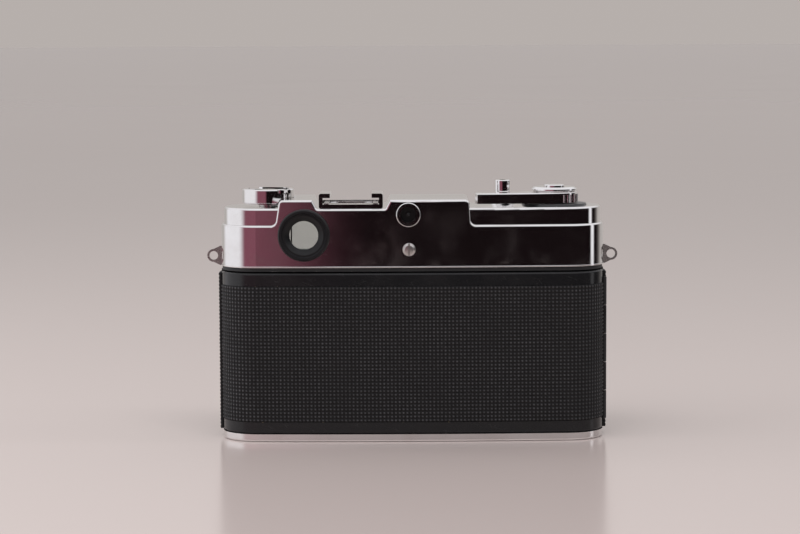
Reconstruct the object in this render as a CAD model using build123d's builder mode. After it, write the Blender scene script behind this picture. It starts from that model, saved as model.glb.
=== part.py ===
from build123d import *
from math import cos, radians, sin
import os

# A 35 mm rangefinder camera with a leaf-shutter lens, standing on its base plate.
# Millimetres. The origin is the mouth of the tripod socket, in the plane of the base.
# +X runs along the body towards the rewind knob, +Y out of the back, -Y out of the lens, +Z up.

os.makedirs("parts", exist_ok=True)

# ---------------------------------------------------------------- driving dimensions
BODY_LENGTH = 135.6
BODY_DEPTH = 33.0
PLAN_BOW = 2.0            # how far the long sides bow outwards at mid length
PLAN_CORNER = 13.5        # radius of the four upright corners

BASE_RIM = 2.7            # height of the base plate's rim
BASE_WALL = 0.9
DOOR_LOW = 3.0
DOOR_HIGH = 59.9
DOOR_WALL = 1.3
SEAM_Y = 3.0              # the door meets the body on this plane
CASTING_TOP = 61.4
COVER_LOW = 61.6
COVER_WALL = 0.9
SHOULDER = 76.5           # ledge that runs round the cover
SIDE_TOP = 82.4           # tops of the two lower side blocks
SIDE_INSET = 1.0
CENTRE_TOP = 85.4         # top of the centre block
CENTRE_LEFT = 47.4        # the centre block's end beside the rewind knob
CENTRE_RIGHT = -20.3      # the centre block's end beside the wind lever

LEATHER = 1.2             # how far the body's leatherette stands out
LEATHER_TOP = 59.0
DOOR_LEATHER_LOW = 7.0
DOOR_LEATHER_HIGH = 55.1
DOOR_LEATHER_SUNK = 0.4
DOOR_LEATHER_PROUD = 0.2

AXIS_Y = -1.0             # spools, wind lever and rewind knob turn on this line
REWIND_X = 51.2
KNOB_R = 9.25
WIND_X = -50.6
SPROCKET_X = -29.5
SPROCKET_Y = 5.2
CHAMBER_R = 13.0
CHAMBER_LOW = 6.0
CHAMBER_HIGH = 56.0
BLOCK_REAR = 9.8          # rear face of the casting inside the door
RAIL_REAR = 10.5          # the film runs on this plane
GATE_WIDTH = 36.0
GATE_HEIGHT = 24.0

LENS_Z = 31.0
LENS_SEAT = 15.9          # depth of the flat seat of the lens mount, in front of mid depth
MOUNT_R = 27.0

EYEPIECE_X = 38.0
FINDER_Z = 73.1
EYEPIECE_R = 9.1
EYEPIECE_BORE = 5.05
RANGE_X = -8.0
ILLUMINATION_X = 14.0
SYNC_X = 1.4
SYNC_Z = 80.2
SCREW_X = 1.2
SCREW_Z = 68.0
SHOE_X = 21.5
BUTTON_X = -32.3
BUTTON_Y = -2.2
BUTTON_R = 2.72
COUNTER_X = -38.5
COUNTER_Y = -8.0
COUNTER_WINDOW_X = -35.9
COUNTER_WINDOW_Y = -9.9
TRIPOD_R = 3.175          # 1/4 inch tripod thread
HINGE_X = -68.2
KNUCKLE_R = 0.85
RUNNING = 0.06            # radial clearance of a shaft in its bearing
CLEAR = 0.3               # gap between bodies that move past each other


# ---------------------------------------------------------------- shapes that several pieces share
def plan(inset):
    """The body seen from above, moved inwards by inset: bowed long sides and rounded corners."""
    half_length = BODY_LENGTH / 2 - inset
    half_depth = BODY_DEPTH / 2 - inset
    end = half_depth - PLAN_BOW
    with BuildSketch() as outline:
        with BuildLine():
            ThreePointArc((-half_length, end), (0, half_depth), (half_length, end))
            Line((half_length, end), (half_length, -end))
            ThreePointArc((half_length, -end), (0, -half_depth), (-half_length, -end))
            Line((-half_length, -end), (-half_length, end))
        make_face()
        fillet(outline.vertices(), PLAN_CORNER - inset)
    return outline.sketch


def slab(inset, low, high):
    """The plan drawn up from one height to another."""
    with BuildPart() as block:
        with BuildSketch(Plane.XY.offset(low)):
            add(plan(inset))
        extrude(amount=high - low)
    return block.part


def block(low, high):
    """A plain box between two corners."""
    size = [high[i] - low[i] for i in range(3)]
    centre = [(high[i] + low[i]) / 2 for i in range(3)]
    with BuildPart() as box:
        with Locations(tuple(centre)):
            Box(*size)
    return box.part


def upright(x, y, outline):
    """A round piece on an upright axis, from its outline of (radius, height) points."""
    with BuildPart() as piece:
        with BuildSketch(Plane(origin=(x, y, 0), x_dir=(1, 0, 0), z_dir=(0, -1, 0))):
            with BuildLine():
                Polyline(*outline, close=True)
            make_face()
        revolve(axis=Axis((x, y, 0), (0, 0, 1)))
    return piece.part


def forward(x, z, outline):
    """A round piece on a front-to-back axis, from its outline of (radius, y) points."""
    with BuildPart() as piece:
        with BuildSketch(Plane(origin=(x, 0, z))):
            with BuildLine():
                Polyline(*outline, close=True)
            make_face()
        revolve(axis=Axis((x, 0, z), (0, 1, 0)))
    return piece.part


def post(x, y, radius, low, high):
    """A solid upright cylinder."""
    return upright(x, y, [(0, low), (radius, low), (radius, high), (0, high)])


def drum(x, z, radius, front, rear):
    """A solid front-to-back cylinder."""
    return forward(x, z, [(0, front), (radius, front), (radius, rear), (0, rear)])


def across(y):
    """The plane across the body at depth y; what is extruded from it goes towards the lens."""
    return Plane.XZ.offset(-y)


def finish(piece, name):
    """Label one finished sub-part and write its STEP file."""
    piece.part.label = name
    export_step(piece.part, f"parts/{name}.step")


# ---------------------------------------------------------------- body casting
HINGE_KNUCKLES = 5
KNUCKLE_LENGTH = (DOOR_HIGH - DOOR_LOW - 6.0) / HINGE_KNUCKLES
KNUCKLE_START = DOOR_LOW + 3.0


def knuckles(first):
    """Every second knuckle of the door's hinge, starting with the one numbered first."""
    with BuildPart() as barrel:
        for number in range(first, HINGE_KNUCKLES, 2):
            low = KNUCKLE_START + number * KNUCKLE_LENGTH + CLEAR / 2
            high = low + KNUCKLE_LENGTH - CLEAR
            add(post(HINGE_X, SEAM_Y, KNUCKLE_R, low, high))
            wall_x = HINGE_X + 2.2
            leaf_y = SEAM_Y + 0.55 if first else SEAM_Y - 0.95
            add(block((HINGE_X, leaf_y, low), (wall_x, leaf_y + 0.4, high)))
    return barrel.part


def knuckle_room(first):
    """The space that the other half's knuckles need."""
    with BuildPart() as room:
        for number in range(first, HINGE_KNUCKLES, 2):
            low = KNUCKLE_START + number * KNUCKLE_LENGTH - CLEAR / 2
            high = low + KNUCKLE_LENGTH + CLEAR
            add(post(HINGE_X, SEAM_Y, KNUCKLE_R + 0.3, low, high))
    return room.part


BASE_SCREWS = [(x, y) for x in (-58.0, 58.0) for y in (-5.7, 5.7)]
SCREW_CORE = 1.1

with BuildPart() as body_casting:
    add(slab(0, DOOR_LOW, CASTING_TOP - 1.1))
    add(block((-80, SEAM_Y - CLEAR, 0), (80, 30, 100)), mode=Mode.SUBTRACT)
    add(slab(1.9, DOOR_LOW + 1.5, DOOR_HIGH - 1.5) & block((-80, -20, 0), (80, BLOCK_REAR, 100)))
    add(slab(BASE_WALL + 0.3, BASE_WALL + 0.1, DOOR_LOW))
    add(slab(0.3, DOOR_HIGH + 0.4, CASTING_TOP))
    for chamber_x in (REWIND_X, WIND_X):
        add(post(chamber_x, AXIS_Y, CHAMBER_R, CHAMBER_LOW, CHAMBER_HIGH), mode=Mode.SUBTRACT)
        low = (chamber_x - CHAMBER_R, AXIS_Y, CHAMBER_LOW)
        add(block(low, (chamber_x + CHAMBER_R, 30, CHAMBER_HIGH)), mode=Mode.SUBTRACT)
    add(post(SPROCKET_X, SPROCKET_Y, 6.8, CHAMBER_LOW, CHAMBER_HIGH), mode=Mode.SUBTRACT)
    for rail_z, rail_height in ((13.2, 1.4), (18.2, 1.6)):
        for side in (-1, 1):
            centre_z = LENS_Z + side * rail_z
            low = (-19.5, BLOCK_REAR - 1, centre_z - rail_height / 2)
            add(block(low, (19.5, RAIL_REAR, centre_z + rail_height / 2)))
    gate_low = (-GATE_WIDTH / 2, 5, LENS_Z - GATE_HEIGHT / 2)
    add(block(gate_low, (GATE_WIDTH / 2, 20, LENS_Z + GATE_HEIGHT / 2)), mode=Mode.SUBTRACT)
    tunnel_low = (-GATE_WIDTH / 2 - 1, -9, LENS_Z - GATE_HEIGHT / 2 - 1)
    tunnel_high = (GATE_WIDTH / 2 + 1, BLOCK_REAR - 1.5, LENS_Z + GATE_HEIGHT / 2 + 1)
    add(block(tunnel_low, tunnel_high), mode=Mode.SUBTRACT)
    add(drum(0, LENS_Z, 21.4, -20, -8.5), mode=Mode.SUBTRACT)
    add(drum(0, LENS_Z, MOUNT_R + 0.1, -20, -LENS_SEAT), mode=Mode.SUBTRACT)
    # room for the latch and the shafts in the roof over the chambers, and bearings under them
    add(block((47.0, -4.6, 57.2), (66.2, 2.2, CASTING_TOP + 1)), mode=Mode.SUBTRACT)
    add(post(REWIND_X, AXIS_Y, 3.45, 50, CASTING_TOP + 1), mode=Mode.SUBTRACT)
    add(post(WIND_X, AXIS_Y, 2.5 + RUNNING, 3.4, CASTING_TOP + 1), mode=Mode.SUBTRACT)
    add(post(SPROCKET_X, SPROCKET_Y, 2.0 + RUNNING, 3.4, 59.0), mode=Mode.SUBTRACT)
    # the rewind release button's bore, the tripod socket's seat and the screw holes
    add(post(SPROCKET_X, SPROCKET_Y, 2.8, 0, 3.2), mode=Mode.SUBTRACT)
    add(post(0, 0, 6.0, 0, 8.0), mode=Mode.SUBTRACT)
    for screw_x, screw_y in BASE_SCREWS:
        add(post(screw_x, screw_y, SCREW_CORE, 0, 4.5), mode=Mode.SUBTRACT)
    add(drum(40.0, 36.0, 1.5 + RUNNING, -20, -12.0), mode=Mode.SUBTRACT)
    add(knuckle_room(1), mode=Mode.SUBTRACT)
    add(knuckles(0))
    add(post(HINGE_X, SEAM_Y, 0.4, 0, 70), mode=Mode.SUBTRACT)
finish(body_casting, "body_casting")

# The leatherette is glued round the front and both ends, up to the door's seam.
with BuildPart() as front_leatherette:
    add(slab(-LEATHER, BASE_RIM + 0.3, LEATHER_TOP))
    add(slab(0, 0, 100), mode=Mode.SUBTRACT)
    add(block((-80, SEAM_Y - 0.4, 0), (80, 30, 100)), mode=Mode.SUBTRACT)
    add(drum(0, LENS_Z, MOUNT_R + 0.15, -30, 0), mode=Mode.SUBTRACT)
    add(drum(40.0, 36.0, 2.2, -30, 0), mode=Mode.SUBTRACT)
    add(block((-70, SEAM_Y - KNUCKLE_R - 0.5, 0), (-67, 30, 100)), mode=Mode.SUBTRACT)
finish(front_leatherette, "front_leatherette")

with BuildPart() as light_seals:
    add(slab(1.65, 12.0, 50.0))
    add(slab(1.9, 0, 100), mode=Mode.SUBTRACT)
    add(block((-80, -30, 0), (80, 3.4, 100)), mode=Mode.SUBTRACT)
    add(block((-80, 5.6, 0), (80, 30, 100)), mode=Mode.SUBTRACT)
finish(light_seals, "light_seals")

# ---------------------------------------------------------------- base plate and what is in it
RELEASE_R = 2.6

with BuildPart() as base_plate:
    add(slab(0, 0, BASE_RIM))
    fillet(base_plate.edges().group_by(Axis.Z)[0], 0.7)
    add(slab(BASE_WALL, BASE_WALL, BASE_RIM + 1), mode=Mode.SUBTRACT)
    add(post(0, 0, 5.2, -1, 3), mode=Mode.SUBTRACT)
    add(post(SPROCKET_X, SPROCKET_Y, RELEASE_R + 0.15, -1, 3), mode=Mode.SUBTRACT)
    for screw_x, screw_y in BASE_SCREWS:
        add(post(screw_x, screw_y, 2.2, -1, 3), mode=Mode.SUBTRACT)
finish(base_plate, "base_plate")

with BuildPart() as tripod_socket:
    thread = [(TRIPOD_R, 7.0), (TRIPOD_R, 0)]
    outside = [(5.2, 0), (5.2, 1.0), (6.0, 1.0), (6.0, 8.0), (0, 8.0), (0, 7.0)]
    add(upright(0, 0, thread + outside))
finish(tripod_socket, "tripod_socket")


def slotted_screw(x, y):
    """A base screw: flat head with a slot, standing in the base plate's hole."""
    with BuildPart() as screw:
        add(upright(x, y, [(0, 0.2), (2.2, 0.2), (2.2, 1.0), (SCREW_CORE, 1.0), (SCREW_CORE, 4.5), (0, 4.5)]))
        add(block((x - 3, y - 0.3, 0), (x + 3, y + 0.3, 0.6)), mode=Mode.SUBTRACT)
    return screw.part


with BuildPart() as base_screws:
    for screw_x, screw_y in BASE_SCREWS:
        add(slotted_screw(screw_x, screw_y))
finish(base_screws, "base_screws")

with BuildPart() as rewind_release_button:
    head = [(0, 0.4), (2.3, 0.4), (RELEASE_R, 0.6), (RELEASE_R, 1.6)]
    add(upright(SPROCKET_X, SPROCKET_Y, head + [(2.0, 1.6), (2.0, 2.6), (0, 2.6)]))
finish(rewind_release_button, "rewind_release_button")

# ---------------------------------------------------------------- top cover
RECESS_LOW_X = 8.6
RECESS_HIGH_X = 34.2
RECESS_FLOOR = 82.3
RECESS_FRONT = -20.0      # the recess runs right through to the front
FRONT_OPENINGS = [          # x, z, width and height of the three finder windows
    (EYEPIECE_X, 70.9, 15.0, 12.4),
    (ILLUMINATION_X, FINDER_Z, 15.0, 7.6),
    (RANGE_X, FINDER_Z, 6.6, 6.6),
]


def cover_form(wall, low):
    """The cover's outer form for wall 0, and the hollow inside it for the wall's thickness."""
    half = BODY_LENGTH / 2
    with BuildPart() as form:
        with BuildSketch(across(20)) as rise:
            with BuildLine():
                Polyline(
                    (-half, low),
                    (half, low),
                    (half, SHOULDER - wall),
                    (CENTRE_LEFT + 0.6 - wall, SHOULDER - wall),
                    (CENTRE_LEFT - 0.8 - wall, CENTRE_TOP - wall),
                    (CENTRE_RIGHT + 0.4 + wall, CENTRE_TOP - wall),
                    (CENTRE_RIGHT - 0.2 + wall, SHOULDER - wall),
                    (-half, SHOULDER - wall),
                    close=True,
                )
            make_face()
            corners = rise.vertices().filter_by_position(Axis.X, CENTRE_RIGHT - 2, CENTRE_LEFT + 2)
            fillet(corners.filter_by_position(Axis.Y, SHOULDER - 2, SHOULDER + 1), 2.0)
            fillet(rise.vertices().group_by(Axis.Y)[-1], 1.6)
        extrude(amount=40)
        add(slab(wall, low - 1, CENTRE_TOP + 1), mode=Mode.INTERSECT)
        add(slab(SIDE_INSET + wall, SHOULDER - wall - 1, SIDE_TOP - wall))
        with BuildSketch(across(20)) as recess:
            with BuildLine():
                Polyline(
                    (RECESS_LOW_X - 1.1 - wall, CENTRE_TOP + 1),
                    (RECESS_LOW_X - 0.8 - wall, CENTRE_TOP - wall),
                    (RECESS_LOW_X + 0.8 - wall, RECESS_FLOOR - wall),
                    (RECESS_HIGH_X - 0.8 + wall, RECESS_FLOOR - wall),
                    (RECESS_HIGH_X + 0.8 + wall, CENTRE_TOP - wall),
                    (RECESS_HIGH_X + 1.1 + wall, CENTRE_TOP + 1),
                    close=True,
                )
            make_face()
            fillet(recess.vertices().group_by(Axis.Y)[0], 1.0)
        extrude(amount=20 - RECESS_FRONT + wall, mode=Mode.SUBTRACT)
        add(post(REWIND_X, AXIS_Y, KNOB_R + 0.45 + wall, SIDE_TOP - wall, 100), mode=Mode.SUBTRACT)
    return form.part



def outer_edges(cover):
    """The edges that bound the cover's upright outer faces, above the plain skirt."""
    walls = cover.faces().filter_by(lambda face: face.bounding_box().min.Z < COVER_LOW + 0.1)
    walls = walls.filter_by(lambda face: face.bounding_box().size.Z > 5)
    return walls.edges().filter_by(lambda edge: edge.bounding_box().min.Z > SHOULDER - 1)


def side_top_edges(cover):
    """The outer edges of the two side blocks' tops."""
    level = cover.edges().filter_by_position(Axis.Z, SIDE_TOP - 0.01, SIDE_TOP + 0.01)
    return level.filter_by(lambda edge: edge.geom_type == GeomType.CIRCLE or abs(edge.center().X) > 60)


EYEPIECE_HOLE = EYEPIECE_R + 0.05
SYNC_R = 4.25
REWIND_HOLE = 3.45
WIND_STEM_R = 3.9

with BuildPart() as top_cover:
    add(cover_form(0, COVER_LOW))
    fillet(outer_edges(top_cover), 0.8)
    fillet(side_top_edges(top_cover), 0.8)
    add(cover_form(COVER_WALL, COVER_LOW - 1), mode=Mode.SUBTRACT)
    for window_x, window_z, width, height in FRONT_OPENINGS:
        with BuildSketch(across(-10)):
            with Locations((window_x, window_z)):
                RectangleRounded(width, height, 0.8)
        extrude(amount=10, mode=Mode.SUBTRACT)
    add(drum(EYEPIECE_X, FINDER_Z, EYEPIECE_HOLE, 10, 20), mode=Mode.SUBTRACT)
    add(drum(SYNC_X, SYNC_Z, SYNC_R + 0.05, 10, 20), mode=Mode.SUBTRACT)
    add(drum(SCREW_X, SCREW_Z, 1.2, 10, 20), mode=Mode.SUBTRACT)
    add(post(REWIND_X, AXIS_Y, REWIND_HOLE, 80, 90), mode=Mode.SUBTRACT)
    add(post(WIND_X, AXIS_Y, WIND_STEM_R + RUNNING, 80, 90), mode=Mode.SUBTRACT)
    add(post(BUTTON_X, BUTTON_Y, BUTTON_R + 0.1, 80, 90), mode=Mode.SUBTRACT)
    add(post(COUNTER_WINDOW_X, COUNTER_WINDOW_Y, 2.3, 80, 90), mode=Mode.SUBTRACT)
    for side in (-1, 1):
        inner = side * (BODY_LENGTH / 2 - 3)
        outer = side * (BODY_LENGTH / 2 + 3)
        low = (min(inner, outer), AXIS_Y - 0.9, 61)
        add(block(low, (max(inner, outer), AXIS_Y + 0.9, 68.3)), mode=Mode.SUBTRACT)
finish(top_cover, "top_cover")

with BuildPart() as cover_screw:
    shank = [(0, 13.5), (1.15, 13.5), (1.15, 16.5)]
    add(forward(SCREW_X, SCREW_Z, shank + [(2.3, 16.5), (2.2, 17.0), (1.5, 17.45), (0, 17.6)]))
    add(block((SCREW_X - 0.3, 16.95, SCREW_Z - 3), (SCREW_X + 0.3, 19, SCREW_Z + 3)), mode=Mode.SUBTRACT)
finish(cover_screw, "cover_screw")

# The strap lugs are one pressed plate each, held behind the cover's ends.
LUG_Z = 64.8
LUG_HOLE_X = 70.8
LUG_HOLE_R = 1.55
LUG_TIP_R = 2.3

with BuildPart() as strap_lugs:
    for side in (-1, 1):
        with BuildSketch(across(AXIS_Y + 0.8)):
            with BuildLine():
                Polyline(
                    (side * 64.5, LUG_Z - 3.1),
                    (side * 68.4, LUG_Z - 3.45),
                    (side * LUG_HOLE_X, LUG_Z - LUG_TIP_R),
                    (side * LUG_HOLE_X, LUG_Z + LUG_TIP_R),
                    (side * 68.4, LUG_Z + 3.45),
                    (side * 64.5, LUG_Z + 3.1),
                    close=True,
                )
            make_face()
            with Locations((side * LUG_HOLE_X, LUG_Z)):
                Circle(LUG_TIP_R)
                Circle(LUG_HOLE_R, mode=Mode.SUBTRACT)
        extrude(amount=1.6)
        inner = side * 64.9
        outer = side * 66.2
        low = (min(inner, outer), AXIS_Y - 2.8, LUG_Z - 3.1)
        add(block(low, (max(inner, outer), AXIS_Y + 2.8, LUG_Z + 3.1)))
finish(strap_lugs, "strap_lugs")

# ---------------------------------------------------------------- accessory shoe
SHOE_HALF = 11.2
SHOE_OPENING = 14.6
SHOE_FLOOR = 83.8
SHOE_LIP = 86.1
SHOE_TOP = 87.6
SHOE_WALL = 1.35
SHOE_REAR = 15.0
SHOE_FRONT = -1.4
SHOE_SILL = 84.4          # top of the low sill at the channel's front end
SILL_DEPTH = 1.2

with BuildPart() as accessory_shoe:
    with BuildSketch(across(SHOE_REAR)):
        with Locations((SHOE_X, (RECESS_FLOOR + SHOE_TOP) / 2)):
            RectangleRounded(2 * SHOE_HALF, SHOE_TOP - RECESS_FLOOR, 0.8)
        with Locations((SHOE_X, (SHOE_FLOOR + SHOE_LIP) / 2)):
            Rectangle(2 * (SHOE_HALF - SHOE_WALL), SHOE_LIP - SHOE_FLOOR, mode=Mode.SUBTRACT)
        with Locations((SHOE_X, SHOE_TOP)):
            Rectangle(SHOE_OPENING, 2 * (SHOE_TOP - SHOE_LIP) + 0.4, mode=Mode.SUBTRACT)
    extrude(amount=SHOE_REAR - SHOE_FRONT)
    sill_end = (SHOE_X + 10.4, SHOE_FRONT + SILL_DEPTH, SHOE_SILL)
    add(block((SHOE_X - 10.4, SHOE_FRONT, RECESS_FLOOR), sill_end))
    with Locations((SHOE_X - 6, 4.0, SHOE_FLOOR), (SHOE_X + 6, 4.0, SHOE_FLOOR)):
        CounterSinkHole(0.8, 1.5, 1.5)
finish(accessory_shoe, "accessory_shoe")

with BuildPart() as shoe_spring:
    with BuildSketch(Plane.XY.offset(SHOE_FLOOR)):
        for side in (-1, 1):
            with Locations((SHOE_X + side * 8.6, 7.0)):
                Rectangle(1.8, 12.0)
        with Locations((SHOE_X, 1.5)):
            Rectangle(19.0, 1.8)
    extrude(amount=0.25)
finish(shoe_spring, "shoe_spring")

# ---------------------------------------------------------------- viewfinder and rangefinder
with BuildPart() as eyepiece_ring:
    ring = [(EYEPIECE_BORE, 13.4), (EYEPIECE_R, 13.4), (EYEPIECE_R, 17.3), (8.7, 17.8), (7.9, 17.8)]
    add(forward(EYEPIECE_X, FINDER_Z, ring + [(7.5, 17.3), (6.9, 17.3), (EYEPIECE_BORE, 15.9)]))
    add(drum(EYEPIECE_X, FINDER_Z, 5.7, 13.4, 14.9), mode=Mode.SUBTRACT)
finish(eyepiece_ring, "eyepiece_ring")

with BuildPart() as eyepiece_lens:
    add(drum(EYEPIECE_X, FINDER_Z, 5.65, 13.45, 14.85))
finish(eyepiece_lens, "eyepiece_lens")

TUBE_LOW = (30.3, -13.2, 64.2)
TUBE_HIGH = (46.6, 13.2, 79.0)
TUBE_WALL = 0.9
SPLITTER_Z = (TUBE_LOW[2] + TUBE_HIGH[2]) / 2

with BuildPart() as viewfinder_housing:
    add(block(TUBE_LOW, TUBE_HIGH))
    inner_low = (TUBE_LOW[0] + TUBE_WALL, -20, TUBE_LOW[2] + TUBE_WALL)
    inner_high = (TUBE_HIGH[0] - TUBE_WALL, 20, TUBE_HIGH[2] - TUBE_WALL)
    add(block(inner_low, inner_high), mode=Mode.SUBTRACT)
    add(block((20, -6.5, FINDER_Z - 3.5), (34, 0.5, FINDER_Z + 3.5)), mode=Mode.SUBTRACT)
    for foot_y in (-11.0, 9.0):
        add(block((33, foot_y, CASTING_TOP), (43, foot_y + 2, TUBE_LOW[2])))
finish(viewfinder_housing, "viewfinder_housing")

with BuildPart() as beam_splitter:
    mirror_plane = Plane(origin=(EYEPIECE_X, -3.0, SPLITTER_Z), x_dir=(1, 1, 0), z_dir=(1, -1, 0))
    with BuildSketch(mirror_plane):
        Rectangle(14.0, 13.0)
    extrude(amount=0.4, both=True)
finish(beam_splitter, "beam_splitter")

with BuildPart() as window_bezels:
    for window_x, window_z, width, height in FRONT_OPENINGS:
        with BuildSketch(across(-13.2)):
            with Locations((window_x, window_z)):
                RectangleRounded(width - 0.1, height - 0.1, 0.8)
                RectangleRounded(width - 2.0, height - 2.0, 0.6, mode=Mode.SUBTRACT)
        extrude(amount=3.7)
finish(window_bezels, "window_bezels")


def finder_window(window_x, window_z, width, height):
    """The glass of one front window, inside its bezel."""
    with BuildPart() as glass:
        with BuildSketch(across(-14.2)):
            with Locations((window_x, window_z)):
                RectangleRounded(width - 2.1, height - 2.1, 0.6)
        extrude(amount=1.2)
    return glass.part


WINDOW_NAMES = ("viewfinder_window", "illumination_window", "rangefinder_window")
for window_name, opening in zip(WINDOW_NAMES, FRONT_OPENINGS):
    with BuildPart() as window:
        add(finder_window(*opening))
    finish(window, window_name)

# ---------------------------------------------------------------- flash sync socket
with BuildPart() as sync_socket:
    rings = [(2.75, 13.2), (SYNC_R, 13.2), (SYNC_R, 16.6), (4.0, 16.9), (3.6, 16.9), (3.6, 16.4)]
    add(forward(SYNC_X, SYNC_Z, rings + [(3.25, 16.4), (3.25, 17.1), (2.75, 17.1)]))
finish(sync_socket, "sync_socket")

with BuildPart() as sync_contact:
    core = [(0, 13.2), (2.7, 13.2), (2.7, 14.4), (0.6, 14.4), (0.6, 16.3), (0, 16.5)]
    add(forward(SYNC_X, SYNC_Z, core))
finish(sync_contact, "sync_contact")

# ---------------------------------------------------------------- back door
with BuildPart() as door_shell:
    add(slab(0, DOOR_LOW, DOOR_HIGH))
    fillet(door_shell.faces().sort_by(Axis.Z)[-1].edges(), 1.0)
    fillet(door_shell.faces().sort_by(Axis.Z)[0].edges(), 0.6)
    add(slab(DOOR_WALL, DOOR_LOW + 1.2, DOOR_HIGH - 1.2), mode=Mode.SUBTRACT)
    pocket = slab(-1, DOOR_LEATHER_LOW, DOOR_LEATHER_HIGH) - slab(DOOR_LEATHER_SUNK, 0, 100)
    add(pocket, mode=Mode.SUBTRACT)
    add(block((-80, -30, 0), (80, SEAM_Y, 100)), mode=Mode.SUBTRACT)
    add(slab(DOOR_WALL, 0, 100) & block((-80, 0, 0), (80, 10.2, 100)), mode=Mode.SUBTRACT)
    add(knuckle_room(0), mode=Mode.SUBTRACT)
    add(knuckles(1))
    add(post(HINGE_X, SEAM_Y, 0.4 + RUNNING, 0, 70), mode=Mode.SUBTRACT)
finish(door_shell, "door_shell")

with BuildPart() as door_leatherette:
    add(slab(-DOOR_LEATHER_PROUD, DOOR_LEATHER_LOW + 0.05, DOOR_LEATHER_HIGH - 0.05))
    add(slab(DOOR_LEATHER_SUNK, 0, 100), mode=Mode.SUBTRACT)
    add(block((-80, -30, 0), (80, SEAM_Y + 1.3, 100)), mode=Mode.SUBTRACT)
finish(door_leatherette, "door_leatherette")

with BuildPart() as door_hinge_pin:
    add(post(HINGE_X, SEAM_Y, 0.4, KNUCKLE_START, DOOR_HIGH - 3.0))
finish(door_hinge_pin, "door_hinge_pin")

PLATE_FRONT = 10.8
PLATE_REAR = 12.0

with BuildPart() as pressure_plate:
    with BuildSketch(across(PLATE_REAR)):
        with Locations((0, LENS_Z)):
            RectangleRounded(50.0, 38.0, 3.0)
    extrude(amount=PLATE_REAR - PLATE_FRONT)
    fillet(pressure_plate.faces().sort_by(Axis.Y)[0].edges(), 0.3)
finish(pressure_plate, "pressure_plate")

with BuildPart() as pressure_spring:
    with BuildSketch(Plane.XY.offset(LENS_Z - 5)):
        with BuildLine():
            ThreePointArc((-19, 13.2), (0, 15.0), (19, 13.2))
            Line((19, 13.2), (19, 13.0))
            ThreePointArc((19, 13.0), (0, 14.8), (-19, 13.0))
            Line((-19, 13.0), (-19, 13.2))
        make_face()
    extrude(amount=10)
    add(block((-4, 14.8, LENS_Z - 5), (4, 15.15, LENS_Z + 5)))
finish(pressure_spring, "pressure_spring")

# ---------------------------------------------------------------- wind lever, spools and counter
LEVER_LOW = 83.4
LEVER_HIGH = 87.1
LEVER_SKIN = 1.2
HUB_R = 8.2

with BuildPart() as wind_base_ring:
    add(upright(WIND_X, AXIS_Y, [(4.2, SIDE_TOP), (11.6, SIDE_TOP), (11.2, 83.0), (4.2, 83.0)]))
finish(wind_base_ring, "wind_base_ring")


def lever_outline(inset):
    """The wind lever from above: a round hub and an arm with a bowed rear rim."""
    with BuildSketch() as outline:
        Circle(HUB_R - inset)
        with BuildLine():
            rear = ThreePointArc((-1.0, 8.1 - inset), (14.0, 10.6 - inset), (27.6 - inset, 10.9 - inset))
            tip = ThreePointArc(rear @ 1, (28.5 - inset, 7.0), (27.4 - inset, 3.3 + inset))
            front = ThreePointArc(tip @ 1, (15.0, 3.0 + inset), (7.4 - inset, -2.6 + inset))
            Line(front @ 1, rear @ 0)
        make_face()
    return outline.sketch


with BuildPart() as wind_lever:
    with BuildSketch(Plane((WIND_X, AXIS_Y, LEVER_LOW))):
        add(lever_outline(0))
    extrude(amount=LEVER_HIGH - LEVER_LOW)
    fillet(wind_lever.faces().sort_by(Axis.Z)[-1].edges(), 0.5)
    with BuildSketch(Plane((WIND_X, AXIS_Y, LEVER_LOW))):
        add(lever_outline(LEVER_SKIN))
        Circle(HUB_R + 0.5, mode=Mode.SUBTRACT)
    extrude(amount=LEVER_HIGH - LEVER_LOW - LEVER_SKIN, mode=Mode.SUBTRACT)
    with BuildSketch(Plane((WIND_X, AXIS_Y, LEVER_LOW))):
        with PolarLocations(HUB_R, 9, start_angle=112, angular_range=96):
            Circle(0.28)
    extrude(amount=2.8)
    add(post(WIND_X, AXIS_Y, WIND_STEM_R, CASTING_TOP + 0.1, LEVER_LOW))
finish(wind_lever, "wind_lever")

with BuildPart() as wind_hub_cap:
    rim = [(0, LEVER_HIGH), (7.4, LEVER_HIGH), (HUB_R, 87.7), (HUB_R, 88.1), (7.2, 88.8)]
    add(upright(WIND_X, AXIS_Y, rim + [(3.7, 88.8), (3.7, 89.2), (3.3, 89.6), (0, 89.6)]))
finish(wind_hub_cap, "wind_hub_cap")

SPOOL_GAP = 0.3
SPOOL_LOW = CHAMBER_LOW + SPOOL_GAP
SPOOL_HIGH = CHAMBER_HIGH - SPOOL_GAP
SPINDLE_R = 2.5
FLANGE_R = 11.6
CORE_R = 6.4

with BuildPart() as take_up_spool:
    add(upright(WIND_X, AXIS_Y, [
        (0, 3.6), (SPINDLE_R, 3.6), (SPINDLE_R, SPOOL_LOW),
        (FLANGE_R, SPOOL_LOW), (FLANGE_R, SPOOL_LOW + 1.2), (CORE_R, SPOOL_LOW + 1.2),
        (CORE_R, SPOOL_HIGH - 1.2), (FLANGE_R, SPOOL_HIGH - 1.2), (FLANGE_R, SPOOL_HIGH),
        (SPINDLE_R, SPOOL_HIGH), (SPINDLE_R, CASTING_TOP), (0, CASTING_TOP),
    ]))
    for turn in range(3):
        slot = Plane.XZ.rotated((0, 0, 120 * turn)).offset(2.0)
        with BuildSketch(Plane(origin=(WIND_X, AXIS_Y, 0) + slot.origin, x_dir=slot.x_dir, z_dir=slot.z_dir)):
            with Locations((0, LENS_Z)):
                Rectangle(2.2, 34.0)
        extrude(amount=8, mode=Mode.SUBTRACT)
finish(take_up_spool, "take_up_spool")

SPROCKET_TEETH = 8

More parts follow.
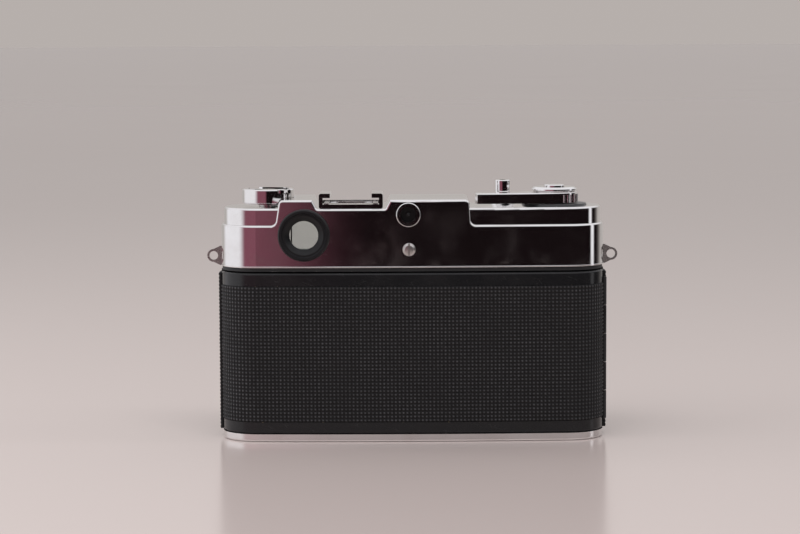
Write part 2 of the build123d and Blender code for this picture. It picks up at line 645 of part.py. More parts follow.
with BuildPart() as sprocket:
    add(upright(SPROCKET_X, SPROCKET_Y, [
        (0, 3.6), (2.0, 3.6), (2.0, SPOOL_LOW), (3.2, SPOOL_LOW),
        (3.2, SPOOL_HIGH), (2.0, SPOOL_HIGH), (2.0, 58.8), (0, 58.8),
    ]))
    for side in (-1, 1):
        wheel_z = LENS_Z + side * 14.1
        with BuildSketch(Plane((SPROCKET_X, SPROCKET_Y, wheel_z - 1.1))):
            Circle(5.3)
            with PolarLocations(5.6, SPROCKET_TEETH):
                RectangleRounded(1.7, 1.3, 0.3)
        extrude(amount=2.2)
finish(sprocket, "sprocket")

with BuildPart() as counter_dial:
    add(upright(COUNTER_X, COUNTER_Y, [
        (0, CASTING_TOP + 0.1), (1.2, CASTING_TOP + 0.1), (1.2, 79.3), (5.5, 79.3), (5.5, 80.1), (0, 80.1),
    ]))
finish(counter_dial, "counter_dial")

with BuildPart() as counter_window:
    lens = [(0, 81.6), (2.25, 81.6), (2.25, 82.4), (1.4, 82.75), (0, 82.9)]
    add(upright(COUNTER_WINDOW_X, COUNTER_WINDOW_Y, lens))
finish(counter_window, "counter_window")

# ---------------------------------------------------------------- shutter button
BUTTON_TOP = 91.2
BUTTON_TRAVEL = 2.0
CABLE_R = 1.2

with BuildPart() as shutter_button:
    add(upright(BUTTON_X, BUTTON_Y, [
        (0, 65.0), (1.5, 65.0), (1.5, 79.0), (BUTTON_R, 79.0),
        (BUTTON_R, BUTTON_TOP - 0.3), (BUTTON_R - 0.3, BUTTON_TOP),
        (CABLE_R, BUTTON_TOP), (CABLE_R, BUTTON_TOP - 6.0), (0, BUTTON_TOP - 6.0),
    ]))
finish(shutter_button, "shutter_button")

with BuildPart() as button_collar:
    collar = [(BUTTON_R + 0.1, SIDE_TOP), (4.3, SIDE_TOP), (4.0, 83.3), (BUTTON_R + 0.1, 83.3)]
    add(upright(BUTTON_X, BUTTON_Y, collar))
finish(button_collar, "button_collar")

# ---------------------------------------------------------------- rewind knob, crank and latch
KNOB_LOW = 83.3
KNOB_HIGH = 88.6
KNOB_FLOOR = 87.1
SHAFT_R = 2.5
CRANK_ANGLE = 133.0       # the crank's handle lies at the knob's rear, towards mid length
CRANK_HINGE = -6.5        # places along the crank, from the knob's axis
CRANK_REACH = 6.9
CRANK_Z = 87.8
HANDLE_R = 2.4

crank_frame = Plane(
    origin=(REWIND_X, AXIS_Y, 0),
    x_dir=(cos(radians(CRANK_ANGLE)), sin(radians(CRANK_ANGLE)), 0),
    z_dir=(0, 0, 1),
)
handle_spot = crank_frame.from_local_coords((CRANK_REACH, 0, 0))


def crank_level(height):
    """The crank's own frame, lifted to a height."""
    return crank_frame.offset(height)


def crank_section(offset):
    """An upright plane along the crank, moved sideways by offset."""
    side = crank_frame.from_local_coords((0, offset, 0))
    return Plane(origin=side, x_dir=crank_frame.x_dir, z_dir=-crank_frame.y_dir)


with BuildPart() as rewind_knob:
    add(upright(REWIND_X, AXIS_Y, [
        (SHAFT_R, KNOB_LOW), (8.7, KNOB_LOW), (KNOB_R, 83.9), (KNOB_R, 88.2), (KNOB_R - 0.4, KNOB_HIGH),
        (7.4, KNOB_HIGH), (7.4, KNOB_FLOOR), (0, KNOB_FLOOR), (0, 86.0), (SHAFT_R, 86.0),
    ]))
    with BuildSketch(crank_level(KNOB_FLOOR)):
        Rectangle(30, 6.0)
    extrude(amount=5, mode=Mode.SUBTRACT)
    add(post(handle_spot.X, handle_spot.Y, HANDLE_R + 0.4, 83.9, 90), mode=Mode.SUBTRACT)
    with BuildSketch(crank_section(-4.5)):
        with Locations((CRANK_HINGE, CRANK_Z)):
            Circle(0.45 + RUNNING)
    extrude(amount=-9.0, mode=Mode.SUBTRACT)
finish(rewind_knob, "rewind_knob")

with BuildPart() as rewind_shaft:
    add(post(REWIND_X, AXIS_Y, SHAFT_R, 50.0, 86.0))
    with BuildSketch(Plane((REWIND_X, AXIS_Y, 46.0))):
        Rectangle(4.6, 1.2)
    extrude(amount=4.0)
finish(rewind_shaft, "rewind_shaft")

CRANK_LOW = 87.3
CRANK_WIDTH = 5.2
TRUNNION_R = 0.45

with BuildPart() as rewind_crank:
    with BuildSketch(crank_level(CRANK_LOW)):
        with Locations(((CRANK_HINGE + CRANK_REACH) / 2, 0)):
            Rectangle(CRANK_REACH - CRANK_HINGE, CRANK_WIDTH)
        with Locations((CRANK_REACH, 0)):
            Circle(CRANK_WIDTH / 2)
            Circle(0.85, mode=Mode.SUBTRACT)
    extrude(amount=2 * (CRANK_Z - CRANK_LOW))
    with BuildSketch(crank_section(-4.2)):
        with Locations((CRANK_HINGE, CRANK_Z)):
            Circle(TRUNNION_R)
    extrude(amount=-8.4)
finish(rewind_crank, "rewind_crank")

with BuildPart() as crank_handle:
    add(upright(handle_spot.X, handle_spot.Y, [
        (0, 84.2), (HANDLE_R - 0.3, 84.2), (HANDLE_R, 84.5), (HANDLE_R, 86.9), (HANDLE_R - 0.3, 87.2),
        (0.78, 87.2), (0.78, 88.38), (1.3, 88.38), (1.2, 88.6), (0, 88.6),
    ]))
finish(crank_handle, "crank_handle")

with BuildPart() as door_latch:
    sleeve_bore = SHAFT_R + RUNNING
    add(upright(REWIND_X, AXIS_Y, [(sleeve_bore, 57.5), (3.38, 57.5), (3.38, 83.0), (sleeve_bore, 83.0)]))
    add(block((REWIND_X, AXIS_Y - 3.2, 57.5), (64.1, AXIS_Y + 2.6, 59.0)))
    add(block((62.5, AXIS_Y - 3.2, 57.5), (64.1, AXIS_Y + 2.6, 60.5)))
    add(post(REWIND_X, AXIS_Y, sleeve_bore, 57, 60), mode=Mode.SUBTRACT)
finish(door_latch, "door_latch")

# ---------------------------------------------------------------- lens and shutter, front to back
# The mount carries a fixed tube. The focus ring turns on it, and drives the whole shutter
# housing forwards inside it. All outlines are (radius, y) points.
TUBE_R = 23.0
TUBE_BORE = 20.9
TUBE_FRONT = -27.0
FOCUS_R = 26.6
HOUSING_R = 25.6
BARREL_R = 22.9
CAVITY_R = 21.9
RING_BORE = 23.0
BLADE_PIVOT = 20.0        # pivot circle of both sets of blades
BLADE_OPENING = 12.4
BLADE_OUTER = 18.8
BLADE_THICKNESS = 0.2
BLADE_COUNT = 5
BLADE_PITCH = 0.6
BLADE_SPAN = 110.0
BLADE_CLOSING = 39.0      # how far a shutter blade turns between open and closed
SHUTTER_REAR = -29.2
IRIS_REAR = -33.0
PIN_R = 0.5

with BuildPart() as lens_mount_plate:
    add(forward(0, LENS_Z, [
        (TUBE_BORE, -LENS_SEAT), (MOUNT_R, -LENS_SEAT), (MOUNT_R, -18.2),
        (MOUNT_R - 0.4, -18.6), (TUBE_R, -18.6),
        (TUBE_R, TUBE_FRONT), (TUBE_BORE, TUBE_FRONT),
    ]))
finish(lens_mount_plate, "lens_mount_plate")


def knurl(radius, rear, front, count, depth):
    """Flutes round a ring, to be cut from it between two depths."""
    with BuildPart() as flutes:
        with BuildSketch(Plane(origin=(0, rear, LENS_Z), x_dir=(1, 0, 0), z_dir=(0, -1, 0))):
            with PolarLocations(radius, count):
                Circle(depth)
        extrude(amount=rear - front)
    return flutes.part


with BuildPart() as focus_ring:
    inner = TUBE_R + 0.1
    add(forward(0, LENS_Z, [
        (inner, -18.9), (FOCUS_R - 0.4, -18.9), (FOCUS_R, -19.3),
        (FOCUS_R, -26.3), (FOCUS_R - 0.4, -26.7), (inner, -26.7),
    ]))
    add(knurl(FOCUS_R + 0.1, -20.4, -25.2, 60, 0.55), mode=Mode.SUBTRACT)
    with BuildSketch(Plane(origin=(0, -19.6, LENS_Z), x_dir=(1, 0, 0), z_dir=(0, -1, 0))):
        with PolarLocations(FOCUS_R + 1.6, 1, start_angle=-60):
            RectangleRounded(5.2, 7.0, 1.2)
    extrude(amount=6.4)
    add(drum(0, LENS_Z, inner, -30, -15), mode=Mode.SUBTRACT)
finish(focus_ring, "focus_ring")

with BuildPart() as shutter_housing:
    tube_slide = TUBE_BORE - RUNNING
    add(forward(0, LENS_Z, [
        (12.0, -12.0), (tube_slide, -12.0), (tube_slide, -27.3), (HOUSING_R, -27.3), (HOUSING_R, -30.8),
        (BARREL_R, -30.8), (BARREL_R, -42.3), (TUBE_BORE, -42.3), (TUBE_BORE, -37.0),
        (12.5, -37.0), (12.5, -36.2), (CAVITY_R, -36.2), (CAVITY_R, -32.7),
        (BLADE_OPENING, -32.7), (BLADE_OPENING, -32.1), (CAVITY_R, -32.1),
        (CAVITY_R, -28.9), (9.4, -28.9), (9.4, -28.0), (12.0, -28.0),
    ]))
    for number in range(BLADE_COUNT):
        angle = radians(360 / BLADE_COUNT * number)
        pin_x = BLADE_PIVOT * cos(angle)
        pin_z = LENS_Z + BLADE_PIVOT * sin(angle)
        add(drum(pin_x, pin_z, PIN_R, -32.2, -28.8))
        add(drum(pin_x, pin_z, PIN_R, -36.3, -32.6))
finish(shutter_housing, "shutter_housing")


def blade(number, rear, turned):
    """One thin blade on its pivot: a curved leaf that leaves the opening clear when turned is 0."""
    turn = 360 / BLADE_COUNT * number
    angle = radians(turn)
    pivot = (BLADE_PIVOT * cos(angle), rear - BLADE_PITCH * number, LENS_Z + BLADE_PIVOT * sin(angle))
    leaf_turn = radians(turn + turned)
    leaf_plane = Plane(origin=pivot, x_dir=(cos(leaf_turn), 0, sin(leaf_turn)), z_dir=(0, -1, 0))
    with BuildPart() as leaf:
        with BuildSketch(leaf_plane):
            with Locations((-BLADE_PIVOT, 0)):
                Circle(BLADE_OUTER)
                Circle(BLADE_OPENING, mode=Mode.SUBTRACT)
            with BuildLine():
                start = (-BLADE_PIVOT, 0)
                reach = 3 * BLADE_OUTER
                arms = [radians(angle) for angle in (0, 55, BLADE_SPAN)]
                fan = [(reach * cos(arm) - BLADE_PIVOT, reach * sin(arm)) for arm in arms]
                Polyline(start, *fan, close=True)
            make_face(mode=Mode.INTERSECT)
            Circle(1.6)
            Circle(PIN_R + 0.05, mode=Mode.SUBTRACT)
        extrude(amount=BLADE_THICKNESS)
    return leaf.part


for number in range(BLADE_COUNT):
    with BuildPart() as shutter_blade:
        add(blade(number, SHUTTER_REAR, BLADE_CLOSING))
    finish(shutter_blade, f"shutter_blade_{number + 1}")
    with BuildPart() as aperture_blade:
        add(blade(number, IRIS_REAR, 0))
    finish(aperture_blade, f"aperture_blade_{number + 1}")

with BuildPart() as speed_ring:
    add(forward(0, LENS_Z, [
        (RING_BORE, -31.1), (26.0, -31.1), (26.2, -31.3), (26.2, -35.6), (26.0, -35.8), (RING_BORE, -35.8),
    ]))
    add(knurl(26.3, -33.4, -35.9, 72, 0.45), mode=Mode.SUBTRACT)
finish(speed_ring, "speed_ring")

with BuildPart() as aperture_ring:
    add(forward(0, LENS_Z, [
        (RING_BORE, -36.1), (25.0, -36.1), (25.2, -36.3), (25.2, -41.8), (25.0, -42.0), (RING_BORE, -42.0),
    ]))
    add(knurl(25.3, -38.6, -42.1, 72, 0.45), mode=Mode.SUBTRACT)
finish(aperture_ring, "aperture_ring")

FILTER_R = 23.0
FRONT_GLASS_R = 16.95
BEZEL_BORE = 17.0

with BuildPart() as front_bezel:
    add(forward(0, LENS_Z, [
        (BEZEL_BORE, -38.0), (TUBE_BORE - 0.05, -38.0), (TUBE_BORE - 0.05, -42.3),
        (24.6, -42.3), (24.6, -48.5),
        (24.1, -49.0), (FILTER_R, -49.0), (FILTER_R, -45.0), (19.5, -44.2), (BEZEL_BORE, -43.4),
    ]))
finish(front_bezel, "front_bezel")


def glass_element(radius, flat, edge, crown):
    """A lens element: flat on one side, and a shallow dome from its edge to its crown."""
    with BuildPart() as element:
        with BuildSketch(Plane(origin=(0, 0, LENS_Z))):
            with BuildLine():
                sphere = (radius ** 2 + (crown - edge) ** 2) / (2 * abs(crown - edge))
                half = radius / 2
                sag = sphere - (sphere ** 2 - half ** 2) ** 0.5
                middle = crown + sag if crown < edge else crown - sag
                Polyline((0, crown), (0, flat), (radius, flat), (radius, edge))
                ThreePointArc((radius, edge), (half, middle), (0, crown))
            make_face()
        revolve(axis=Axis((0, 0, LENS_Z), (0, 1, 0)))
    return element.part


with BuildPart() as front_element:
    add(glass_element(FRONT_GLASS_R, -39.0, -42.0, -45.0))
finish(front_element, "front_element")

with BuildPart() as rear_element:
    add(glass_element(11.95, -17.5, -13.4, -12.2))
finish(rear_element, "rear_element")

# ---------------------------------------------------------------- self-timer lever
TIMER_X = 40.0
TIMER_Z = 36.0

with BuildPart() as self_timer_lever:
    stem = [(0, -12.2), (1.5, -12.2), (1.5, -17.4)]
    add(forward(TIMER_X, TIMER_Z, stem + [(4.2, -17.4), (4.2, -19.4), (3.6, -19.8), (0, -19.8)]))
    with BuildSketch(across(-17.7)):
        with BuildLine():
            Polyline(
                (TIMER_X - 3.0, TIMER_Z),
                (TIMER_X - 2.0, TIMER_Z - 17.5),
                (TIMER_X + 2.0, TIMER_Z - 17.5),
                (TIMER_X + 3.0, TIMER_Z),
                close=True,
            )
        make_face()
        with Locations((TIMER_X, TIMER_Z - 17.5)):
            Circle(2.0)
    extrude(amount=1.5)
finish(self_timer_lever, "self_timer_lever")
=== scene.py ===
# %% [markdown]
# # A rangefinder camera, finished in Blender
# The metal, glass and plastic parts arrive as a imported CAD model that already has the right
# size and the right joints. This lesson gives them their finishes, makes the embossed
# leatherette and the engraved scales that CAD is poor at, and puts the camera in a plain
# studio. Everything is in metres and in the frame of the CAD: the origin is the mouth of the
# tripod socket, +Y comes out of the camera's back and -Y out of its lens.

import math
import random

import bmesh
import bpy
from mathutils import Matrix, Vector


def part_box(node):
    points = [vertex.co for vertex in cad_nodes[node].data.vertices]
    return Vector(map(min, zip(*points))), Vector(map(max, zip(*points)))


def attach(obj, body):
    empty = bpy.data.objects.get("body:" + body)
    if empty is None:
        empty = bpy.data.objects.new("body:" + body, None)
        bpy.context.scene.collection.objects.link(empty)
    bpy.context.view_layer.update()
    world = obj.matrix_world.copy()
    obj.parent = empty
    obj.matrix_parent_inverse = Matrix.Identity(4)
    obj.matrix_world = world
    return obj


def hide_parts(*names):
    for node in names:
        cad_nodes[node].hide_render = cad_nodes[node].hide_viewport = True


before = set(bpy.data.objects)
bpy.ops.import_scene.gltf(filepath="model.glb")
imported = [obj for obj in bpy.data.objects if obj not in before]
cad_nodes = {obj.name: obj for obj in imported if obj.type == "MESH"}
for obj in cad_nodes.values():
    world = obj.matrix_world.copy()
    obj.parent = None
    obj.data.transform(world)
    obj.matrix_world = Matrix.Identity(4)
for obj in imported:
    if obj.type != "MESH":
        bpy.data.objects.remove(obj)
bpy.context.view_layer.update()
MM = 0.001

# %% [markdown]
# ## Small helpers for shader nodes
# Every finish below is a handful of nodes. They could be dragged about by hand in the editor.
# In a script it is shorter to have one helper that adds a node, sets its options and either
# links or fills each of its inputs. The others wrap the nodes that come up most often.


# %% Node helpers
def add_node(tree, kind, options=None, inputs=None):
    """Adds a node, sets its options, and links or fills its inputs."""
    node = tree.nodes.new(kind)
    for name, value in (options or {}).items():
        setattr(node, name, value)
    for name, value in (inputs or {}).items():
        if isinstance(value, bpy.types.NodeSocket):
            tree.links.new(value, node.inputs[name])
        else:
            node.inputs[name].default_value = value
    return node


def maths(tree, operation, first, second=0.0):
    """A Math node's result."""
    return add_node(
        tree, "ShaderNodeMath", {"operation": operation}, {0: first, 1: second}
    ).outputs[0]


def spread(tree, value, low, high, out_low=0.0, out_high=1.0):
    """Stretches the part of a value between low and high to a new range."""
    return add_node(
        tree,
        "ShaderNodeMapRange",
        {"interpolation_type": "SMOOTHSTEP"},
        {
            "Value": value,
            "From Min": low,
            "From Max": high,
            "To Min": out_low,
            "To Max": out_high,
        },
    ).outputs[0]


def mix_colours(tree, share, first, second):
    """The first colour where share is 0 and the second where it is 1."""
    return add_node(
        tree, "ShaderNodeMix", {"data_type": "RGBA"}, {0: share, 6: first, 7: second}
    ).outputs[2]


def new_group(name, inputs, outputs):
    """An empty shader node group with named sockets, and its two end nodes."""
    group = bpy.data.node_groups.new(name, "ShaderNodeTree")
    for label, kind, value in inputs:
        socket = group.interface.new_socket(label, in_out="INPUT", socket_type=kind)
        if kind == "NodeSocketFloat":
            socket.default_value = value
    for label, kind in outputs:
        group.interface.new_socket(label, in_out="OUTPUT", socket_type=kind)
    return group, group.nodes.new("NodeGroupInput"), group.nodes.new("NodeGroupOutput")


def place(tree, group, inputs):
    """Places a node group in a material with its own values."""
    return add_node(tree, "ShaderNodeGroup", {"node_tree": group}, inputs)


print("node helpers ready")

# %% [markdown]
# ## Hairline scratches
# Polished chrome on a used camera carries hundreds of hairlines from straps, pockets and
# cleaning cloths. They could be painted, but a pattern that works on any shape is handier:
# the thin walls between stretched Voronoi cells, kept only here and there by a broad noise.


# %% Scratches group
def make_scratches():
    group, enter, leave = new_group(
        "hairline_scratches",
        [
            ("Vector", "NodeSocketVector", None),
            ("Amount", "NodeSocketFloat", 0.5),
            ("Turn", "NodeSocketFloat", 0.6),
        ],
        [("Mask", "NodeSocketFloat")],
    )
    turned = add_node(
        group,
        "ShaderNodeVectorRotate",
        {"rotation_type": "AXIS_ANGLE"},
        {"Vector": enter.outputs["Vector"], "Axis": (0.5, 0.8, 0.3), "Angle": enter.outputs["Turn"]},
    )
    stretched = add_node(
        group, "ShaderNodeMapping", {}, {"Vector": turned.outputs[0], "Scale": (90.0, 900.0, 1100.0)}
    )
    cells = add_node(
        group,
        "ShaderNodeTexVoronoi",
        {"feature": "DISTANCE_TO_EDGE"},
        {"Vector": stretched.outputs[0], "Scale": 0.55},
    )
    line = spread(group, cells.outputs["Distance"], 0.0, 0.018, 1.0, 0.0)
    patches = add_node(
        group, "ShaderNodeTexNoise", {}, {"Vector": enter.outputs["Vector"], "Scale": 260.0, "Detail": 3.0}
    )
    kept = spread(group, patches.outputs[0], 0.5, 0.66)
    shown = maths(group, "MULTIPLY", line, kept)
    group.links.new(maths(group, "MULTIPLY", shown, enter.outputs["Amount"]), leave.inputs["Mask"])
    return group


scratches = make_scratches()
print("group:", scratches.name)

# %% [markdown]
# ## Smudges
# Fingers leave films that make a shiny surface a little duller in soft patches. One noise,
# spread between the roughness of the clean surface and that of the smudged one, says so.


# %% Smudges group
def make_smudges():
    group, enter, leave = new_group(
        "finger_smudges",
        [
            ("Vector", "NodeSocketVector", None),
            ("Scale", "NodeSocketFloat", 70.0),
            ("Clean", "NodeSocketFloat", 0.06),
            ("Smudged", "NodeSocketFloat", 0.16),
        ],
        [("Roughness", "NodeSocketFloat"), ("Mask", "NodeSocketFloat")],
    )
    film = add_node(
        group,
        "ShaderNodeTexNoise",
        {},
        {
            "Vector": enter.outputs["Vector"],
            "Scale": enter.outputs["Scale"],
            "Detail": 5.0,
            "Roughness": 0.6,
            "Distortion": 0.4,
        },
    )
    mask = spread(group, film.outputs[0], 0.42, 0.72)
    roughness = add_node(
        group,
        "ShaderNodeMix",
        {"data_type": "FLOAT"},
        {0: mask, 2: enter.outputs["Clean"], 3: enter.outputs["Smudged"]},
    )
    group.links.new(roughness.outputs[0], leave.inputs["Roughness"])
    group.links.new(mask, leave.inputs["Mask"])
    return group


smudges = make_smudges()
print("group:", smudges.name)

# %% [markdown]
# ## Edge wear
# Paint and black anodising rub through first on sharp edges. A Bevel node rounds the normal
# near an edge, so wherever it differs from the true normal there is an edge. A noise breaks
# the line up, so that it looks rubbed and not drawn.


# %% Edge wear group
def make_edge_wear():
    group, enter, leave = new_group(
        "edge_wear",
        [
            ("Vector", "NodeSocketVector", None),
            ("Width", "NodeSocketFloat", 0.0003),
            ("Amount", "NodeSocketFloat", 0.5),
        ],
        [("Mask", "NodeSocketFloat")],
    )
    rounded = add_node(group, "ShaderNodeBevel", {"samples": 4}, {"Radius": enter.outputs["Width"]})
    true_normal = add_node(group, "ShaderNodeNewGeometry")
    alike = add_node(
        group,
        "ShaderNodeVectorMath",
        {"operation": "DOT_PRODUCT"},
        {0: rounded.outputs[0], 1: true_normal.outputs["Normal"]},
    )
    edge = spread(group, alike.outputs["Value"], 0.995, 0.86)
    rub = add_node(
        group,
        "ShaderNodeTexNoise",
        {},
        {"Vector": enter.outputs["Vector"], "Scale": 420.0, "Detail": 6.0, "Roughness": 0.7},
    )
    threshold = maths(group, "SUBTRACT", 0.78, maths(group, "MULTIPLY", enter.outputs["Amount"], 0.5))
    wear_and_painted_highlight = spread(
        group, rub.outputs[0], threshold, maths(group, "ADD", threshold, 0.06)
    )
    group.links.new(maths(group, "MULTIPLY", edge, wear_and_painted_highlight), leave.inputs["Mask"])
    return group


edge_wear = make_edge_wear()
print("group:", edge_wear.name)

# %% [markdown]
# ## Grain
# Die-cast alloy, moulded plastic and felt all have a fine irregular surface. The group puts
# out a height for a Bump node, and a mask that the colour can follow.


# %% Grain group
def make_grain():
    group, enter, leave = new_group(
        "fine_grain",
        [("Vector", "NodeSocketVector", None), ("Scale", "NodeSocketFloat", 3000.0)],
        [("Height", "NodeSocketFloat"), ("Mask", "NodeSocketFloat")],
    )
    fine = add_node(
        group,
        "ShaderNodeTexNoise",
        {},
        {
            "Vector": enter.outputs["Vector"],
            "Scale": enter.outputs["Scale"],
            "Detail": 4.0,
            "Roughness": 0.65,
        },
    )
    broad = add_node(
        group,
        "ShaderNodeTexNoise",
        {},
        {
            "Vector": enter.outputs["Vector"],
            "Scale": maths(group, "MULTIPLY", enter.outputs["Scale"], 0.12),
            "Detail": 3.0,
        },
    )
    group.links.new(fine.outputs[0], leave.inputs["Height"])
    group.links.new(spread(group, broad.outputs[0], 0.35, 0.7), leave.inputs["Mask"])
    return group


grain = make_grain()
print("group:", grain.name)

# %% [markdown]
# ## Dust
# Dust settles on what faces up and gathers in patches. It lightens the colour and dulls the
# gloss, and a used camera without any looks like a drawing.


# %% Dust group
def make_dust():
    group, enter, leave = new_group(
        "settled_dust",
        [("Vector", "NodeSocketVector", None), ("Amount", "NodeSocketFloat", 0.3)],
        [("Mask", "NodeSocketFloat")],
    )
    facing = add_node(group, "ShaderNodeNewGeometry")
    height = add_node(group, "ShaderNodeSeparateXYZ", {}, {0: facing.outputs["Normal"]})
    upward = spread(group, height.outputs["Z"], -0.2, 1.0, 0.25, 1.0)
    specks = add_node(
        group,
        "ShaderNodeTexNoise",
        {},
        {"Vector": enter.outputs["Vector"], "Scale": 2600.0, "Detail": 2.0},
    )
    patches = add_node(
        group,
        "ShaderNodeTexNoise",
        {},
        {"Vector": enter.outputs["Vector"], "Scale": 120.0, "Detail": 4.0},
    )
    speck_mask = spread(group, specks.outputs[0], 0.62, 0.72)
    patch_mask = spread(group, patches.outputs[0], 0.4, 0.75, 0.15, 1.0)
    both = maths(group, "MULTIPLY", maths(group, "MULTIPLY", speck_mask, patch_mask), upward)
    group.links.new(maths(group, "MULTIPLY", both, enter.outputs["Amount"]), leave.inputs["Mask"])
    return group


dust = make_dust()
print("group:", dust.name)

# %% [markdown]
# ## How a finish is put together
# Each finish starts the same way: a Principled shader and Object coordinates, which stay with
# a piece as it moves. Metals differ in colour, gloss and grain, so one recipe with seven values
# makes them all. The alternative, a separate tree for each, hides what is really different.


# %% Start a material, and the metal recipe
def start_finish(name, metallic=0.0, ior=1.5):
    """A material, its node tree, its shader and the coordinates that its patterns follow."""
    finish = bpy.data.materials.new(name)
    finish.use_nodes = True
    tree = finish.node_tree
    shader = tree.nodes["Principled BSDF"]
    shader.inputs["Metallic"].default_value = metallic
    shader.inputs["IOR"].default_value = ior
    where = add_node(tree, "ShaderNodeTexCoord").outputs["Object"]
    return finish, tree, shader, where


def bump(tree, shader, height, depth):
    """Feeds a height from 0 to 1, over a depth in metres, into the shader's normal."""
    node = add_node(tree, "ShaderNodeBump", {}, {"Height": height, "Distance": depth, "Strength": 1.0})
    tree.links.new(node.outputs[0], shader.inputs["Normal"])


def metal(name, colour, tarnish, clean, smudged, scratch, grain_scale, grain_depth):
    """A plated or turned metal, with smudges, scratches, a little tarnish and a grain."""
    finish, tree, shader, where = start_finish(name, metallic=1.0)
    film = place(tree, smudges, {"Vector": where, "Clean": clean, "Smudged": smudged})
    lines = place(tree, scratches, {"Vector": where, "Amount": scratch})
    crossing = place(tree, scratches, {"Vector": where, "Amount": scratch * 0.7, "Turn": 2.1})
    dirt = place(tree, dust, {"Vector": where, "Amount": 0.35})
    both = maths(tree, "MAXIMUM", lines.outputs[0], crossing.outputs[0])
    plate = mix_colours(tree, maths(tree, "MULTIPLY", film.outputs["Mask"], 0.6), colour, tarnish)
    tree.links.new(
        mix_colours(tree, dirt.outputs[0], plate, (0.42, 0.39, 0.36, 1.0)), shader.inputs["Base Color"]
    )
    dulled = maths(tree, "ADD", film.outputs["Roughness"], maths(tree, "MULTIPLY", both, 0.22))
    tree.links.new(
        maths(tree, "ADD", dulled, maths(tree, "MULTIPLY", dirt.outputs[0], 0.4)),
        shader.inputs["Roughness"],
    )
    surface = place(tree, grain, {"Vector": where, "Scale": grain_scale})
    height = maths(tree, "SUBTRACT", surface.outputs["Height"], maths(tree, "MULTIPLY", both, 0.8))
    bump(tree, shader, height, grain_depth)
    return finish


polished_chrome = metal(
    "polished_chrome", (0.82, 0.81, 0.81, 1), (0.7, 0.67, 0.66, 1), 0.06, 0.13, 0.35, 3400.0, 7e-7
)
satin_chrome = metal(
    "satin_chrome", (0.66, 0.66, 0.67, 1), (0.56, 0.55, 0.54, 1), 0.24, 0.34, 0.5, 5000.0, 8e-6
)
turned_steel = metal(
    "turned_steel", (0.58, 0.57, 0.56, 1), (0.42, 0.39, 0.36, 1), 0.24, 0.4, 0.6, 4000.0, 6e-6
)
blued_steel = metal(
    "blued_steel", (0.075, 0.08, 0.1, 1), (0.05, 0.045, 0.05, 1), 0.26, 0.4, 0.35, 4200.0, 4e-6
)
turned_brass = metal(
    "turned_brass", (0.76, 0.56, 0.28, 1), (0.45, 0.31, 0.15, 1), 0.22, 0.42, 0.5, 3600.0, 6e-6
)
print("metals ready")

# %% [markdown]
# ## Black paints
# The casting inside is sprayed matt black against stray light, the door is stoved with gloss
# enamel, and the lens rings are anodised. Where an edge is rubbed the bare metal shows, so
# colour, gloss and Metallic all follow the same wear mask.


# %% Painted finishes
BARE_BRASS = (0.62, 0.5, 0.33, 1.0)
BARE_ALLOY = (0.55, 0.54, 0.53, 1.0)


def paint(name, colour, bare, clean, smudged, wear, wear_width, grain_scale, grain_depth, coat):
    """A black paint over metal, rubbed through at its edges."""
    finish, tree, shader, where = start_finish(name)
    film = place(tree, smudges, {"Vector": where, "Clean": clean, "Smudged": smudged})
    wear_and_painted_highlight = place(tree, edge_wear, {"Vector": where, "Width": wear_width, "Amount": wear}).outputs[0]
    dirt = place(tree, dust, {"Vector": where, "Amount": 0.3}).outputs[0]
    lines = place(tree, scratches, {"Vector": where, "Amount": 0.5}).outputs[0]
    greyed = mix_colours(tree, dirt, colour, (0.22, 0.2, 0.18, 1.0))
    scuffed = mix_colours(tree, maths(tree, "MULTIPLY", lines, 0.12), greyed, (0.25, 0.25, 0.25, 1.0))
    tree.links.new(mix_colours(tree, wear_and_painted_highlight, scuffed, bare), shader.inputs["Base Color"])
    tree.links.new(wear_and_painted_highlight, shader.inputs["Metallic"])
    dulled = maths(tree, "ADD", film.outputs["Roughness"], maths(tree, "MULTIPLY", dirt, 0.4))
    tree.links.new(
        maths(tree, "ADD", dulled, maths(tree, "MULTIPLY", lines, 0.1)), shader.inputs["Roughness"]
    )
    shader.inputs["Specular IOR Level"].default_value = 0.3
    shader.inputs["Coat Roughness"].default_value = 0.08
    shader.inputs["Coat Weight"].default_value = coat
    surface = place(tree, grain, {"Vector": where, "Scale": grain_scale})
    height = maths(tree, "SUBTRACT", surface.outputs["Height"], maths(tree, "MULTIPLY", wear_and_painted_highlight, 1.2))
    bump(tree, shader, height, grain_depth)
    return finish


matt_casting = paint(
    "matt_casting", (0.017, 0.017, 0.018, 1), BARE_ALLOY, 0.5, 0.68, 0.35, 0.0003, 3200.0, 2.5e-5, 0.0
)
gloss_enamel = paint(
    "gloss_enamel", (0.009, 0.009, 0.01, 1), BARE_BRASS, 0.14, 0.26, 0.34, 0.0002, 900.0, 6e-6, 0.1
)
black_anodised = paint(
    "black_anodised", (0.022, 0.022, 0.024, 1), BARE_ALLOY, 0.3, 0.42, 0.42, 0.00022, 5200.0, 6e-6, 0.0
)
print("paints ready")
